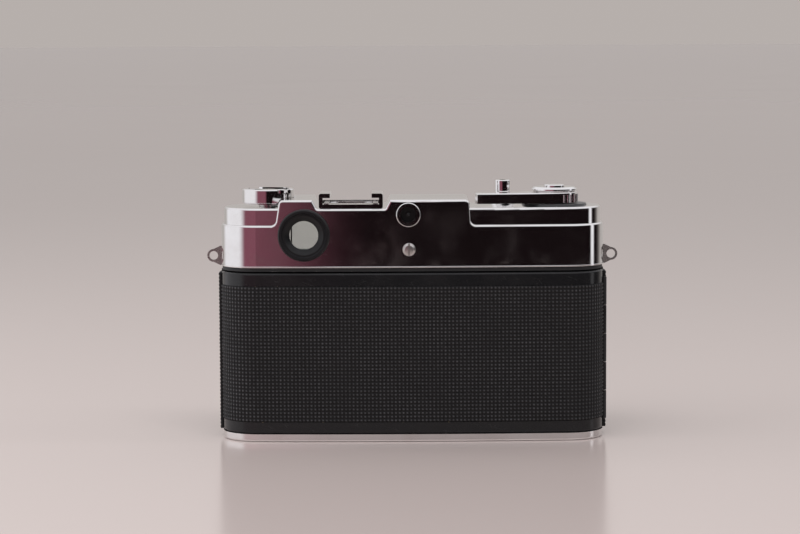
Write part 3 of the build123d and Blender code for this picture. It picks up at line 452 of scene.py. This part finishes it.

# %% [markdown]
# ## Leatherette, plastic and felt
# The leatherette is vinyl cloth with an embossed pattern. Its pebbles are real geometry, made
# further down, so its finish adds the fine crackle of the vinyl, a little dust, and painted light:
# the pebble tops are painted lighter in patches as a painted highlight, the valleys near black as painted
# shade.


# %% Leatherette finish
def make_leatherette():
    finish, tree, shader, where = start_finish("embossed_leatherette", ior=1.46)
    height = add_node(tree, "ShaderNodeAttribute", {"attribute_name": "pebble"}).outputs["Fac"]
    highlight_patches = add_node(
        tree, "ShaderNodeTexNoise", {}, {"Vector": where, "Scale": 55.0, "Detail": 4.0}
    ).outputs[0]
    # Painted light: the colour is lighter on the pebble tops in noise patches, a painted highlight, and
    # near black in the valleys, a painted shade.
    painted_highlight_tops = spread(tree, height, 0.55, 1.0)
    wear_and_painted_highlight = maths(tree, "MULTIPLY", painted_highlight_tops, spread(tree, highlight_patches, 0.3, 0.75, 0.6, 1.0))
    vinyl_with_painted_light = mix_colours(tree, wear_and_painted_highlight, (0.0015, 0.0015, 0.002, 1.0), (0.062, 0.062, 0.067, 1.0))
    dirt = place(tree, dust, {"Vector": where, "Amount": 0.22}).outputs[0]
    tree.links.new(mix_colours(tree, dirt, vinyl_with_painted_light, (0.2, 0.19, 0.18, 1.0)), shader.inputs["Base Color"])
    tree.links.new(
        maths(tree, "ADD", spread(tree, wear_and_painted_highlight, 0.0, 1.0, 0.62, 0.3), maths(tree, "MULTIPLY", dirt, 0.3)),
        shader.inputs["Roughness"],
    )
    crackle = add_node(
        tree,
        "ShaderNodeTexVoronoi",
        {"feature": "DISTANCE_TO_EDGE"},
        {"Vector": where, "Scale": 5200.0},
    ).outputs["Distance"]
    fine = place(tree, grain, {"Vector": where, "Scale": 6500.0}).outputs["Height"]
    bump(tree, shader, maths(tree, "ADD", spread(tree, crackle, 0.0, 0.18), fine), 1.2e-5)
    return finish


embossed_leatherette = make_leatherette()


# %% Plastic and felt
def make_plastic():
    finish, tree, shader, where = start_finish("moulded_plastic")
    film = place(tree, smudges, {"Vector": where, "Scale": 110.0, "Clean": 0.34, "Smudged": 0.46})
    shader.inputs["Specular IOR Level"].default_value = 0.3
    dirt = place(tree, dust, {"Vector": where, "Amount": 0.4}).outputs[0]
    tree.links.new(
        mix_colours(tree, dirt, (0.007, 0.007, 0.008, 1.0), (0.16, 0.15, 0.14, 1.0)),
        shader.inputs["Base Color"],
    )
    tree.links.new(
        maths(tree, "ADD", film.outputs["Roughness"], maths(tree, "MULTIPLY", dirt, 0.3)),
        shader.inputs["Roughness"],
    )
    bump(tree, shader, place(tree, grain, {"Vector": where, "Scale": 2600.0}).outputs[0], 5e-6)
    return finish


def make_felt():
    finish, tree, shader, where = start_finish("black_felt")
    shader.inputs["Sheen Weight"].default_value = 0.5
    shader.inputs["Roughness"].default_value = 0.95
    fibres = place(tree, grain, {"Vector": where, "Scale": 4200.0})
    tree.links.new(
        mix_colours(tree, fibres.outputs["Mask"], (0.012, 0.012, 0.012, 1.0), (0.04, 0.038, 0.036, 1.0)),
        shader.inputs["Base Color"],
    )
    bump(tree, shader, fibres.outputs["Height"], 8e-5)
    return finish


moulded_plastic = make_plastic()
black_felt = make_felt()
print("soft finishes ready")

# %% [markdown]
# ## Glass
# A clear window passes light and keeps a plain Transmission Weight. The lens surfaces have a
# thin coating that reflects amber and violet. A Layer Weight node tells how far the surface
# is turned away, and the tint of the reflection follows it. A faint film of smudges keeps the
# glass from looking like empty air.


# %% Glass finishes
def glass(name, tint, edge_tint, clean, smudged, ior):
    """Clear, frosted or coated glass."""
    finish, tree, shader, where = start_finish(name, ior=ior)
    shader.inputs["Transmission Weight"].default_value = 1.0
    film = place(tree, smudges, {"Vector": where, "Scale": 160.0, "Clean": clean, "Smudged": smudged})
    tree.links.new(film.outputs["Roughness"], shader.inputs["Roughness"])
    turned_away = add_node(tree, "ShaderNodeLayerWeight", {}, {"Blend": 0.35}).outputs["Facing"]
    tree.links.new(mix_colours(tree, turned_away, tint, edge_tint), shader.inputs["Base Color"])
    return finish


clear_glass = glass("clear_glass", (0.93, 0.95, 0.94, 1), (0.7, 0.78, 0.76, 1), 0.0, 0.05, 1.5)
frosted_glass = glass("frosted_glass", (0.86, 0.88, 0.86, 1), (0.7, 0.75, 0.75, 1), 0.42, 0.52, 1.5)
coated_glass = glass("coated_glass", (0.74, 0.68, 0.9, 1), (0.9, 0.62, 0.4, 1), 0.0, 0.03, 1.68)
print("glass ready")

# %% [markdown]
# ## Giving the CAD pieces their finishes
# Each imported node names the record's material slot it belongs to. A table from slot to
# finish is enough to dress all of them.

# %% Dress the CAD nodes
FINISH_OF_SLOT = {
    "chrome": polished_chrome,
    "satin_chrome": satin_chrome,
    "steel": turned_steel,
    "blade_steel": blued_steel,
    "brass": turned_brass,
    "black_casting": matt_casting,
    "black_enamel": gloss_enamel,
    "black_anodised": black_anodised,
    "leatherette": embossed_leatherette,
    "black_plastic": moulded_plastic,
    "foam": black_felt,
    "clear_glass": clear_glass,
    "frosted_glass": frosted_glass,
    "lens_glass": coated_glass,
}
for node in cad_nodes.values():
    for material_slot in node.material_slots:
        material_slot.material = FINISH_OF_SLOT[material_slot.material.name.split(".")[0]]
print("dressed:", len(cad_nodes))

# %% [markdown]
# ## The embossed leatherette
# The real sheet is vinyl on cloth, pressed with rows of small pebbles and glued round the
# body. A bump map would do from far away, but the outline at the corners would stay smooth.
# Here it is a flat grid with a few squares to each pebble. Every point is raised by the shape
# of its pebble and then wrapped round the body's plan: two bowed sides and four round corners.

# %% The body's plan as a path
HALF_LENGTH = 67.8 * MM
HALF_DEPTH = 16.5 * MM
BOW = 2.0 * MM
CORNER_RADIUS = 13.5 * MM
CORNER_X = 54.3 * MM
CORNER_Y = 1.7 * MM
BOW_RADIUS = (HALF_LENGTH**2 + BOW**2) / (2 * BOW)
BOW_TURN = math.asin(CORNER_X / (BOW_RADIUS - CORNER_RADIUS))
print("radius of the bowed side in mm:", round(BOW_RADIUS / MM))


def plan_path(distance, straight):
    """The point and outward direction at a distance along half of the plan, from its middle.

    The middle is at y = HALF_DEPTH. Past the corner the path runs straight towards y = 0.
    """
    side = 1.0 if distance >= 0 else -1.0
    along = abs(distance)
    bowed = BOW_RADIUS * BOW_TURN
    corner = CORNER_RADIUS * (math.pi / 2 - BOW_TURN)
    if along <= bowed:
        turn = along / BOW_RADIUS
        centre = (0.0, HALF_DEPTH - BOW_RADIUS)
        radius = BOW_RADIUS
    elif along <= bowed + corner:
        turn = BOW_TURN + (along - bowed) / CORNER_RADIUS
        centre = (CORNER_X, CORNER_Y)
        radius = CORNER_RADIUS
    else:
        past = min(along - bowed - corner, straight)
        return Vector((side * HALF_LENGTH, CORNER_Y - past)), Vector((side, 0.0))
    outward = Vector((math.sin(turn), math.cos(turn)))
    point = Vector(centre) + outward * radius
    return Vector((side * point.x, point.y)), Vector((side * outward.x, outward.y))


PATH_TO_CORNER_END = BOW_RADIUS * BOW_TURN + CORNER_RADIUS * (math.pi / 2 - BOW_TURN)
print("from mid back to the end of the corner, in mm:", round(PATH_TO_CORNER_END / MM, 1))


# %% Pebbles
PEBBLE_LONG = 1.35 * MM
PEBBLE_HIGH = 1.31 * MM
PEBBLE_SQUARENESS = 2.2
PEBBLE_EVEN = 0.95
PEBBLE_UNEVEN = 0.05
FLAT_RIM = 0.05
random.seed(7)


def pebble_height(column, row, lean):
    """From 0 in the valleys to 1 on top of a pebble. column and row count pebbles."""
    across = 2 * (column - math.floor(column)) - 1
    up = 2 * (row - math.floor(row)) - 1
    index = (math.floor(column) * 31 + math.floor(row) * 17) % len(lean)
    swell = (1 - abs(across) ** PEBBLE_SQUARENESS) * (1 - abs(up) ** PEBBLE_SQUARENESS)
    return swell * (PEBBLE_EVEN + PEBBLE_UNEVEN * lean[index])


PEBBLE_LEAN = [random.uniform(-1.0, 1.0) for _ in range(997)]
print("pebble pitch in mm:", PEBBLE_LONG / MM, "by", PEBBLE_HIGH / MM)

# %% [markdown]
# ### Raising and wrapping the sheet
# `create_grid` gives the flat sheet with a UV map. Its two edges become the distance round the
# plan and the height up the body. The rim is then pushed down and extruded inwards, so that
# the sheet has a real thickness and a closed edge that tucks behind its frame.


# %% Sheet maker
def emboss_sheet(half_length, low, high, squares, base, rise, straight, facing):
    """A pebbled sheet wrapped round half of the plan, facing = 1 for the back and -1 for the front."""
    columns = round(2 * half_length / PEBBLE_LONG)
    rows = round((high - low) / PEBBLE_HIGH)
    sheet = bmesh.new()
    sheet.loops.layers.uv.new("UVMap")
    bmesh.ops.create_grid(
        sheet, x_segments=columns * squares, y_segments=rows * squares, size=0.5, calc_uvs=True
    )
    pebble = sheet.verts.layers.float.new("pebble")
    for point in sheet.verts:
        across, up = point.co.x + 0.5, point.co.y + 0.5
        swell = pebble_height(across * columns, up * rows, PEBBLE_LEAN)
        to_rim = min(min(across, 1 - across) * columns, min(up, 1 - up) * rows)
        point[pebble] = swell if to_rim > FLAT_RIM else 0.0
        place_at, outward = plan_path((across * 2 - 1) * half_length, straight)
        stand = base + rise * point[pebble]
        point.co = Vector(
            (
                place_at.x + outward.x * stand,
                facing * (place_at.y + outward.y * stand),
                low + up * (high - low),
            )
        )
    return sheet


SKIRT_SQUARENESS = 4.0


def close_sheet(sheet, name, depth):
    """Gives the sheet its thickness and makes it an object."""
    bmesh.ops.recalc_face_normals(sheet, faces=sheet.faces)
    first_half = list(sheet.faces)[: len(sheet.faces) // 2]
    if sum(f.normal.y * f.calc_center_median().y for f in first_half) < 0:
        bmesh.ops.reverse_faces(sheet, faces=sheet.faces)
    rim = [e for e in sheet.edges if e.is_boundary]
    out = bmesh.ops.extrude_edge_only(sheet, edges=rim)
    skirt = [g for g in out["geom"] if isinstance(g, bmesh.types.BMVert)]
    for point in skirt:
        outward = Vector((point.co.x, point.co.y * SKIRT_SQUARENESS, 0.0)).normalized()
        point.co -= outward * depth
    mesh = bpy.data.meshes.new(name)
    for face in sheet.faces:
        face.smooth = True
    sheet.to_mesh(mesh)
    sheet.free()
    piece = bpy.data.objects.new(name, mesh)
    bpy.context.scene.collection.objects.link(piece)
    piece.data.materials.append(embossed_leatherette)
    return piece


# %% Leatherette of the door
door_low, door_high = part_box("door_leatherette")
DOOR_BASE = -0.1 * MM
DOOR_RISE = 0.5 * MM
DOOR_DEPTH = 0.3 * MM
DOOR_SQUARES = 4
door_end = PATH_TO_CORNER_END - CORNER_RADIUS * math.asin((door_low.y - CORNER_Y) / CORNER_RADIUS)
door_sheet = emboss_sheet(
    door_end, door_low.z, door_high.z, DOOR_SQUARES, DOOR_BASE, DOOR_RISE, 0.0, 1.0
)
door_pebbles = close_sheet(door_sheet, "door_pebbles", DOOR_DEPTH)
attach(door_pebbles, "back_door")
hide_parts("door_leatherette")
print("door sheet:", len(door_pebbles.data.polygons), "faces")

# %% [markdown]
# ### The front sheet and its round hole
# The body's own leatherette is thicker and stands proud of the metal. The lens mount sits in a
# round hole in it. Faces inside the hole are deleted and the ragged rim is pulled out to a
# true circle, which is quicker than cutting and leaves no slivers.

# %% Leatherette of the front
front_low, front_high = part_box("front_leatherette")
LENS_HEIGHT = 31.0 * MM
HOLE_RADIUS = 27.2 * MM
FRONT_SIDE = -10.0 * MM
FRONT_BASE = 0.9 * MM
FRONT_RISE = 0.3 * MM
FRONT_DEPTH = 0.9 * MM
FRONT_SQUARES = 3
front_straight = CORNER_Y + front_high.y
front_end = PATH_TO_CORNER_END + front_straight
front_sheet = emboss_sheet(
    front_end, front_low.z, front_high.z, FRONT_SQUARES, FRONT_BASE, FRONT_RISE, front_straight, -1.0
)
in_hole = [
    f
    for f in front_sheet.faces
    if all(
        math.hypot(v.co.x, v.co.z - LENS_HEIGHT) < HOLE_RADIUS and v.co.y < FRONT_SIDE
        for v in f.verts
    )
]
bmesh.ops.delete(front_sheet, geom=in_hole, context="FACES")
snapped = 0
for point in front_sheet.verts:
    reach = math.hypot(point.co.x, point.co.z - LENS_HEIGHT)
    if reach < HOLE_RADIUS and point.co.y < FRONT_SIDE:
        point.co.x *= HOLE_RADIUS / reach
        point.co.z = LENS_HEIGHT + (point.co.z - LENS_HEIGHT) * HOLE_RADIUS / reach
        snapped += 1
front_pebbles = close_sheet(front_sheet, "front_pebbles", FRONT_DEPTH)
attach(front_pebbles, "camera_body")
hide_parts("front_leatherette")
print("front sheet:", len(front_pebbles.data.polygons), "faces,", snapped, "points on the hole's rim")

# %% [markdown]
# ## Engraved scales
# The rings of the lens carry numbers for the aperture, the speed and the distance. They are
# engraved and filled with paint. A text object turned into a mesh and bent round the ring
# gives clean edges at any distance, where a painted picture would need an image file. Each
# figure stands a hair proud so that it never flickers against the metal.


# %% Scale finishes and figure maker
def fill_paint(name, colour):
    """The matt paint in an engraved figure, a little uneven."""
    finish, tree, shader, where = start_finish(name)
    wear = place(tree, grain, {"Vector": where, "Scale": 3800.0})
    faded = tuple(c * 0.72 for c in colour[:3]) + (1.0,)
    tree.links.new(mix_colours(tree, wear.outputs["Mask"], faded, colour), shader.inputs["Base Color"])
    shader.inputs["Roughness"].default_value = 0.55
    bump(tree, shader, wear.outputs["Height"], 6e-6)
    return finish


white_fill = fill_paint("white_fill", (0.78, 0.77, 0.73, 1.0))
red_fill = fill_paint("red_fill", (0.55, 0.03, 0.02, 1.0))
black_fill = fill_paint("black_fill", (0.02, 0.02, 0.02, 1.0))
FIGURE_LIFT = 0.02 * MM


def flat_figure(text, height):
    """The mesh of some figures, centred on the origin."""
    curve = bpy.data.curves.new("figure", "FONT")
    curve.body = text
    curve.size = height
    curve.align_x = "CENTER"
    curve.align_y = "CENTER"
    curve.offset = height * 0.008
    curve.resolution_u = 3
    holder = bpy.data.objects.new("figure", curve)
    mesh = bpy.data.meshes.new_from_object(holder)
    bpy.data.objects.remove(holder)
    figure = bmesh.new()
    figure.from_mesh(mesh)
    bpy.data.meshes.remove(mesh)
    bmesh.ops.remove_doubles(figure, verts=figure.verts, dist=height * 1e-3)
    bmesh.ops.triangulate(figure, faces=figure.faces)
    return figure


def join_figures(parts, name, paint_fill, body):
    """Puts several figures in one object that rides on a body."""
    joined = bmesh.new()
    for figure in parts:
        spare = bpy.data.meshes.new("spare")
        figure.to_mesh(spare)
        figure.free()
        joined.from_mesh(spare)
        bpy.data.meshes.remove(spare)
    mesh = bpy.data.meshes.new(name)
    joined.to_mesh(mesh)
    joined.free()
    piece = bpy.data.objects.new(name, mesh)
    bpy.context.scene.collection.objects.link(piece)
    piece.data.materials.append(paint_fill)
    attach(piece, body)


def on_barrel(figure, radius, depth_y, turn):
    """Bends a flat figure round the lens axis, its top towards the front of the lens."""
    for point in figure.verts:
        angle = turn + point.co.x / radius
        point.co = Vector(
            (
                -(radius + FIGURE_LIFT) * math.sin(angle),
                depth_y - point.co.y,
                LENS_HEIGHT + (radius + FIGURE_LIFT) * math.cos(angle),
            )
        )
    return figure


def bar(width, height):
    """A plain index bar, flat on the origin."""
    strip = bmesh.new()
    bmesh.ops.create_grid(strip, x_segments=4, y_segments=1, size=0.5)
    bmesh.ops.scale(strip, vec=(width, height, 1.0), verts=strip.verts)
    return strip


print("figure makers ready")

# %% [markdown]
# ### The aperture scale
# At rest the lens is wide open, so 2 stands at the index on top. The other stops follow at equal
# steps, on the side that turns up to the index as the ring is turned.

# %% Aperture figures
APERTURE_STEP = math.radians(14.0)
APERTURE_SIZE = 2.3 * MM
APERTURE_PLACE = -37.45 * MM
APERTURE_FIGURES = ["2", "2.8", "4", "5.6", "8", "11", "16"]
_, aperture_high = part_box("aperture_ring")
aperture_radius = aperture_high.x
aperture_parts = [
    on_barrel(flat_figure(text, APERTURE_SIZE), aperture_radius, APERTURE_PLACE, -APERTURE_STEP * i)
    for i, text in enumerate(APERTURE_FIGURES)
]
join_figures(aperture_parts, "aperture_figures", white_fill, "aperture_ring")
print("aperture figures:", len(APERTURE_FIGURES), "on a radius in mm of", round(aperture_radius / MM, 2))

# %% [markdown]
# ### The speed scale
# The speeds run from B to 500 in equal clicks over the ring's travel.

# %% Speed figures
SPEED_STEP = math.radians(11.0)
SPEED_SIZE = 1.9 * MM
SPEED_PLACE = -32.4 * MM
SPEED_FIGURES = ["B", "1", "2", "4", "8", "15", "30", "60", "125", "250", "500"]
_, speed_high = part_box("speed_ring")
speed_radius = speed_high.x
speed_parts = [
    on_barrel(flat_figure(text, SPEED_SIZE), speed_radius, SPEED_PLACE, -SPEED_STEP * i)
    for i, text in enumerate(SPEED_FIGURES)
]
join_figures(speed_parts, "speed_figures", black_fill, "speed_ring")
print("speed figures:", len(SPEED_FIGURES))

# %% [markdown]
# ### The distance scale
# A helicoid moves the lens in proportion to one over the distance, so the figures crowd
# together towards infinity.

# %% Distance figures and index
NEAREST = 0.8
FOCUS_TRAVEL = math.radians(70.0)
DISTANCES = [0.8, 1.0, 1.2, 1.5, 2.0, 3.0, 5.0, 10.0]
DISTANCE_SIZE = 1.4 * MM
DISTANCE_PLACE = -19.8 * MM
FOCUS_RADIUS = 26.6 * MM
INDEX_WIDTH = 0.5 * MM
INDEX_LENGTH = 2.6 * MM
INDEX_PLACE = -29.0 * MM
HOUSING_RADIUS = 25.6 * MM
distance_parts = [
    on_barrel(
        flat_figure(f"{distance:g}", DISTANCE_SIZE),
        FOCUS_RADIUS,
        DISTANCE_PLACE,
        -FOCUS_TRAVEL * NEAREST / distance,
    )
    for distance in DISTANCES
]
join_figures(distance_parts, "distance_figures", black_fill, "focus_ring")
index_parts = [on_barrel(bar(INDEX_WIDTH, INDEX_LENGTH), HOUSING_RADIUS, INDEX_PLACE, 0.0)]
join_figures(index_parts, "lens_index", red_fill, "shutter_unit")
print("distances:", DISTANCES)

# %% [markdown]
# ### The frame counter
# A dial under the little window carries the frame numbers. It is read from above, and each
# stroke of the lever turns it by one frame.

# %% Counter figures
COUNTER_X = -38.5 * MM
COUNTER_Y = -8.0 * MM
COUNTER_RADIUS = 3.2 * MM
COUNTER_STEP = math.radians(10.0)
COUNTER_SIZE = 1.5 * MM
FRAMES = 36
FRAMES_PER_FIGURE = 4
WINDOW_X = -35.9 * MM
WINDOW_Y = -9.9 * MM
_, dial_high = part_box("counter_dial")
counter_parts = []
window_turn = math.atan2(WINDOW_Y - COUNTER_Y, WINDOW_X - COUNTER_X)
for count in range(0, FRAMES, FRAMES_PER_FIGURE):
    figure = flat_figure(str(count), COUNTER_SIZE)
    turn = window_turn + COUNTER_STEP * count
    bmesh.ops.translate(figure, vec=(0.0, COUNTER_RADIUS, 0.0), verts=figure.verts)
    bmesh.ops.rotate(figure, matrix=Matrix.Rotation(turn - math.pi / 2, 3, "Z"), verts=figure.verts)
    bmesh.ops.translate(
        figure, vec=(COUNTER_X, COUNTER_Y, dial_high.z + FIGURE_LIFT), verts=figure.verts
    )
    counter_parts.append(figure)
join_figures(counter_parts, "counter_figures", white_fill, "counter_dial")
print("counter figures:", len(counter_parts))

# %% [markdown]
# ## The rolled edge of the top cover
# The real cover is drawn from sheet brass, and its lower edge is turned out in a thin bead
# that catches the light all the way round. Here it is a narrow band. A circle's points are
# put on the body's plan, its rim is copied upwards and given a thickness, and a bevel takes
# off the corners.

# %% Cover bead
cover_low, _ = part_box("top_cover")
BEAD_HEIGHT = 0.45 * MM
BEAD_PROUD = 0.22 * MM
BEAD_LIFT = 0.05 * MM
BEAD_BEVEL = 0.09 * MM
BEAD_POINTS = 240
SHARP_TURN = 1.0
rolled = bmesh.new()
bmesh.ops.create_circle(rolled, cap_ends=False, segments=BEAD_POINTS, radius=1.0)
half_round = PATH_TO_CORNER_END + CORNER_Y
for index, point in enumerate(sorted(rolled.verts, key=lambda v: math.atan2(v.co.x, v.co.y))):
    share = (index + 0.5) / BEAD_POINTS * 4 - 2
    facing = 1.0 if abs(share) < 1 else -1.0
    along = share if abs(share) < 1 else math.copysign(2 - abs(share), share)
    spot, outward = plan_path(along * half_round, CORNER_Y)
    point.co = Vector((spot.x, facing * spot.y, cover_low.z + BEAD_LIFT))
raised = bmesh.ops.extrude_edge_only(rolled, edges=list(rolled.edges))
top_rim = [g for g in raised["geom"] if isinstance(g, bmesh.types.BMVert)]
bmesh.ops.translate(rolled, vec=(0.0, 0.0, BEAD_HEIGHT), verts=top_rim)
bmesh.ops.recalc_face_normals(rolled, faces=rolled.faces)
if sum(f.normal.dot(f.calc_center_median()) for f in rolled.faces) < 0:
    bmesh.ops.reverse_faces(rolled, faces=rolled.faces)
bmesh.ops.solidify(rolled, geom=list(rolled.faces), thickness=-BEAD_PROUD)
corners = [e for e in rolled.edges if len(e.link_faces) == 2 and e.calc_face_angle() > SHARP_TURN]
bmesh.ops.bevel(
    rolled, geom=corners, offset=BEAD_BEVEL, segments=2, profile=0.5, affect="EDGES", material=-1
)
bmesh.ops.recalc_face_normals(rolled, faces=rolled.faces)
for face in rolled.faces:
    face.smooth = True
bead_mesh = bpy.data.meshes.new("cover_bead")
rolled.to_mesh(bead_mesh)
rolled.free()
cover_bead = bpy.data.objects.new("cover_bead", bead_mesh)
bpy.context.scene.collection.objects.link(cover_bead)
cover_bead.data.materials.append(polished_chrome)
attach(cover_bead, "camera_body")
print("bead faces:", len(bead_mesh.polygons))

# %% [markdown]
# ## The table
# The camera stands on a plain pale table with a faint sheen. The table's far part is a
# separate piece that glossy surfaces don't see. The upright chrome would otherwise mirror a
# pale floor without end, where a real room is dim behind the viewer.


# %% Table
def table_finish():
    finish, tree, shader, where = start_finish("pale_table", ior=1.45)
    cloudy = place(tree, smudges, {"Vector": where, "Scale": 2.0, "Clean": 0.18, "Smudged": 0.19})
    tree.links.new(
        mix_colours(tree, cloudy.outputs["Mask"], (0.47, 0.405, 0.39, 1.0), (0.465, 0.4, 0.385, 1.0)),
        shader.inputs["Base Color"],
    )
    tree.links.new(cloudy.outputs["Roughness"], shader.inputs["Roughness"])
    return finish


TABLE_NEAR = 0.42
TABLE_FAR = 30.0
TABLE_POINTS = 96
pale_table = table_finish()


def disc(name, inner, outer):
    """A flat ring on the floor, or a full disc if inner is 0."""
    flat = bmesh.new()
    bmesh.ops.create_circle(flat, cap_ends=inner == 0.0, segments=TABLE_POINTS, radius=outer)
    if inner:
        rim = list(flat.edges)
        ring = bmesh.ops.extrude_edge_only(flat, edges=rim)
        moved = [g for g in ring["geom"] if isinstance(g, bmesh.types.BMVert)]
        bmesh.ops.scale(flat, vec=(inner / outer, inner / outer, 1.0), verts=moved)
    bmesh.ops.recalc_face_normals(flat, faces=flat.faces)
    if flat.faces[:][0].normal.z < 0:
        bmesh.ops.reverse_faces(flat, faces=flat.faces)
    mesh = bpy.data.meshes.new(name)
    flat.to_mesh(mesh)
    flat.free()
    piece = bpy.data.objects.new(name, mesh)
    bpy.context.scene.collection.objects.link(piece)
    piece.data.materials.append(pale_table)
    return piece


disc("near_table", 0.0, TABLE_NEAR)
far_table = disc("far_table", TABLE_NEAR, TABLE_FAR)
far_table.visible_glossy = False
print("table radius in m:", TABLE_FAR)

# %% [markdown]
# ## Room and lights
# Polished metal shows the room more than itself. The world gives three answers: a pale
# backdrop to the camera, an even fill to matt surfaces, and to glossy ones a room. The room
# is dark behind the viewer, faintly warm towards the left and pale behind the object. It has
# a wide white screen at the left end, a narrow one at the right end and a white ceiling, all
# with soft edges. Area lights give the light of those screens, and mirrors don't see them.

# %% World
BACKDROP = (0.47, 0.43, 0.41, 1.0)
FILL = (0.7, 0.68, 0.68, 1.0)
ROOM_DARK = (0.007, 0.004, 0.0045, 1.0)
ROOM_WARM = (0.23, 0.08, 0.11, 1.0)
ROOM_PALE = (0.5, 0.47, 0.45, 1.0)
SCREEN = (0.93, 0.92, 0.95, 1.0)
PALE_OVER_Y = (0.25, -0.35)
PALE_OVER_X = (-0.98, -0.7)
WARM_BEGINS = (0.04, 0.2)
WARM_ENDS = (0.98, 0.8)
LEFT_SCREEN_OVER = (0.66, 0.9)
RIGHT_SCREEN_OVER = (-0.7, -0.95)
STRIP_MIDDLE = 0.04
STRIP_EDGE = (0.17, 0.04)
CEILING_OVER = (0.08, 0.6)
scene = bpy.context.scene
world = bpy.data.worlds.new("studio_room")
scene.world = world
world.use_nodes = True
room = world.node_tree
room.nodes.clear()
towards = add_node(room, "ShaderNodeTexCoord").outputs["Generated"]
part = add_node(room, "ShaderNodeSeparateXYZ", {}, {0: towards})
behind = maths(
    room,
    "MULTIPLY",
    spread(room, part.outputs["Y"], *PALE_OVER_Y),
    spread(room, part.outputs["X"], *PALE_OVER_X),
)
warm_side = maths(
    room,
    "MULTIPLY",
    spread(room, part.outputs["X"], *WARM_BEGINS),
    spread(room, part.outputs["X"], *WARM_ENDS),
)
dim = mix_colours(room, warm_side, ROOM_DARK, ROOM_WARM)
walls = mix_colours(room, behind, dim, ROOM_PALE)
left_screen = spread(room, part.outputs["X"], *LEFT_SCREEN_OVER)
off_strip = maths(room, "ABSOLUTE", maths(room, "SUBTRACT", part.outputs["Y"], STRIP_MIDDLE))
right_screen = maths(
    room,
    "MULTIPLY",
    spread(room, off_strip, *STRIP_EDGE),
    spread(room, part.outputs["X"], *RIGHT_SCREEN_OVER),
)
ceiling = spread(room, part.outputs["Z"], *CEILING_OVER)
side_screens = maths(room, "MAXIMUM", left_screen, right_screen)
screens = maths(room, "MAXIMUM", side_screens, ceiling)
mirrored = mix_colours(room, screens, walls, SCREEN)
ray = add_node(room, "ShaderNodeLightPath")
not_mirrored = mix_colours(room, ray.outputs["Is Camera Ray"], FILL, BACKDROP)
seen = mix_colours(room, ray.outputs["Is Glossy Ray"], not_mirrored, mirrored)
background = add_node(room, "ShaderNodeBackground", {}, {"Color": seen, "Strength": 1.0})
add_node(room, "ShaderNodeOutputWorld", {}, {"Surface": background.outputs[0]})
print("world ready")


# %% Lights
LAMPS_AIM = Vector((0.0, 0.0, 0.05))


def softbox(name, place_at, width, height, power):
    """A rectangular area light that faces the object and that mirrors don't see."""
    lamp = bpy.data.lights.new(name, "AREA")
    lamp.shape = "RECTANGLE"
    lamp.size = width
    lamp.size_y = height
    lamp.energy = power
    holder = bpy.data.objects.new(name, lamp)
    scene.collection.objects.link(holder)
    holder.location = place_at
    holder.rotation_euler = (LAMPS_AIM - Vector(place_at)).to_track_quat("-Z", "Y").to_euler()
    holder.visible_glossy = False


softbox("left_softbox", (0.8, 0.12, 0.28), 0.95, 0.8, 8.0)
softbox("right_strip", (-0.9, 0.06, 0.25), 0.1, 0.7, 2.5)
softbox("top_softbox", (0.0, 0.45, 1.0), 0.9, 0.4, 5.5)

# %% [markdown]
# ## The camera that takes the picture
# A long lens from a little above keeps the upright edges nearly parallel, as for a catalogue.

# %% Viewpoint
VIEWPOINT = Vector((0.0044, 0.8665, 0.143))
AIM = Vector((0.0044, 0.0165, 0.0619))
ROLL = -0.0051
SENSOR_WIDTH = 36.0
LENS_LENGTH = 109.8
view_camera = bpy.data.cameras.new("view_camera")
view_camera.sensor_width = SENSOR_WIDTH
view_camera.lens = LENS_LENGTH
view_camera.clip_start = 0.01
viewer = bpy.data.objects.new("viewer", view_camera)
scene.collection.objects.link(viewer)
viewer.location = VIEWPOINT
level = (AIM - VIEWPOINT).to_track_quat("-Z", "Y")
viewer.rotation_mode = "QUATERNION"
viewer.rotation_quaternion = level @ Matrix.Rotation(ROLL, 3, "Z").to_quaternion()
scene.camera = viewer
scene.view_settings.view_transform = "Standard"
print("viewpoint set")
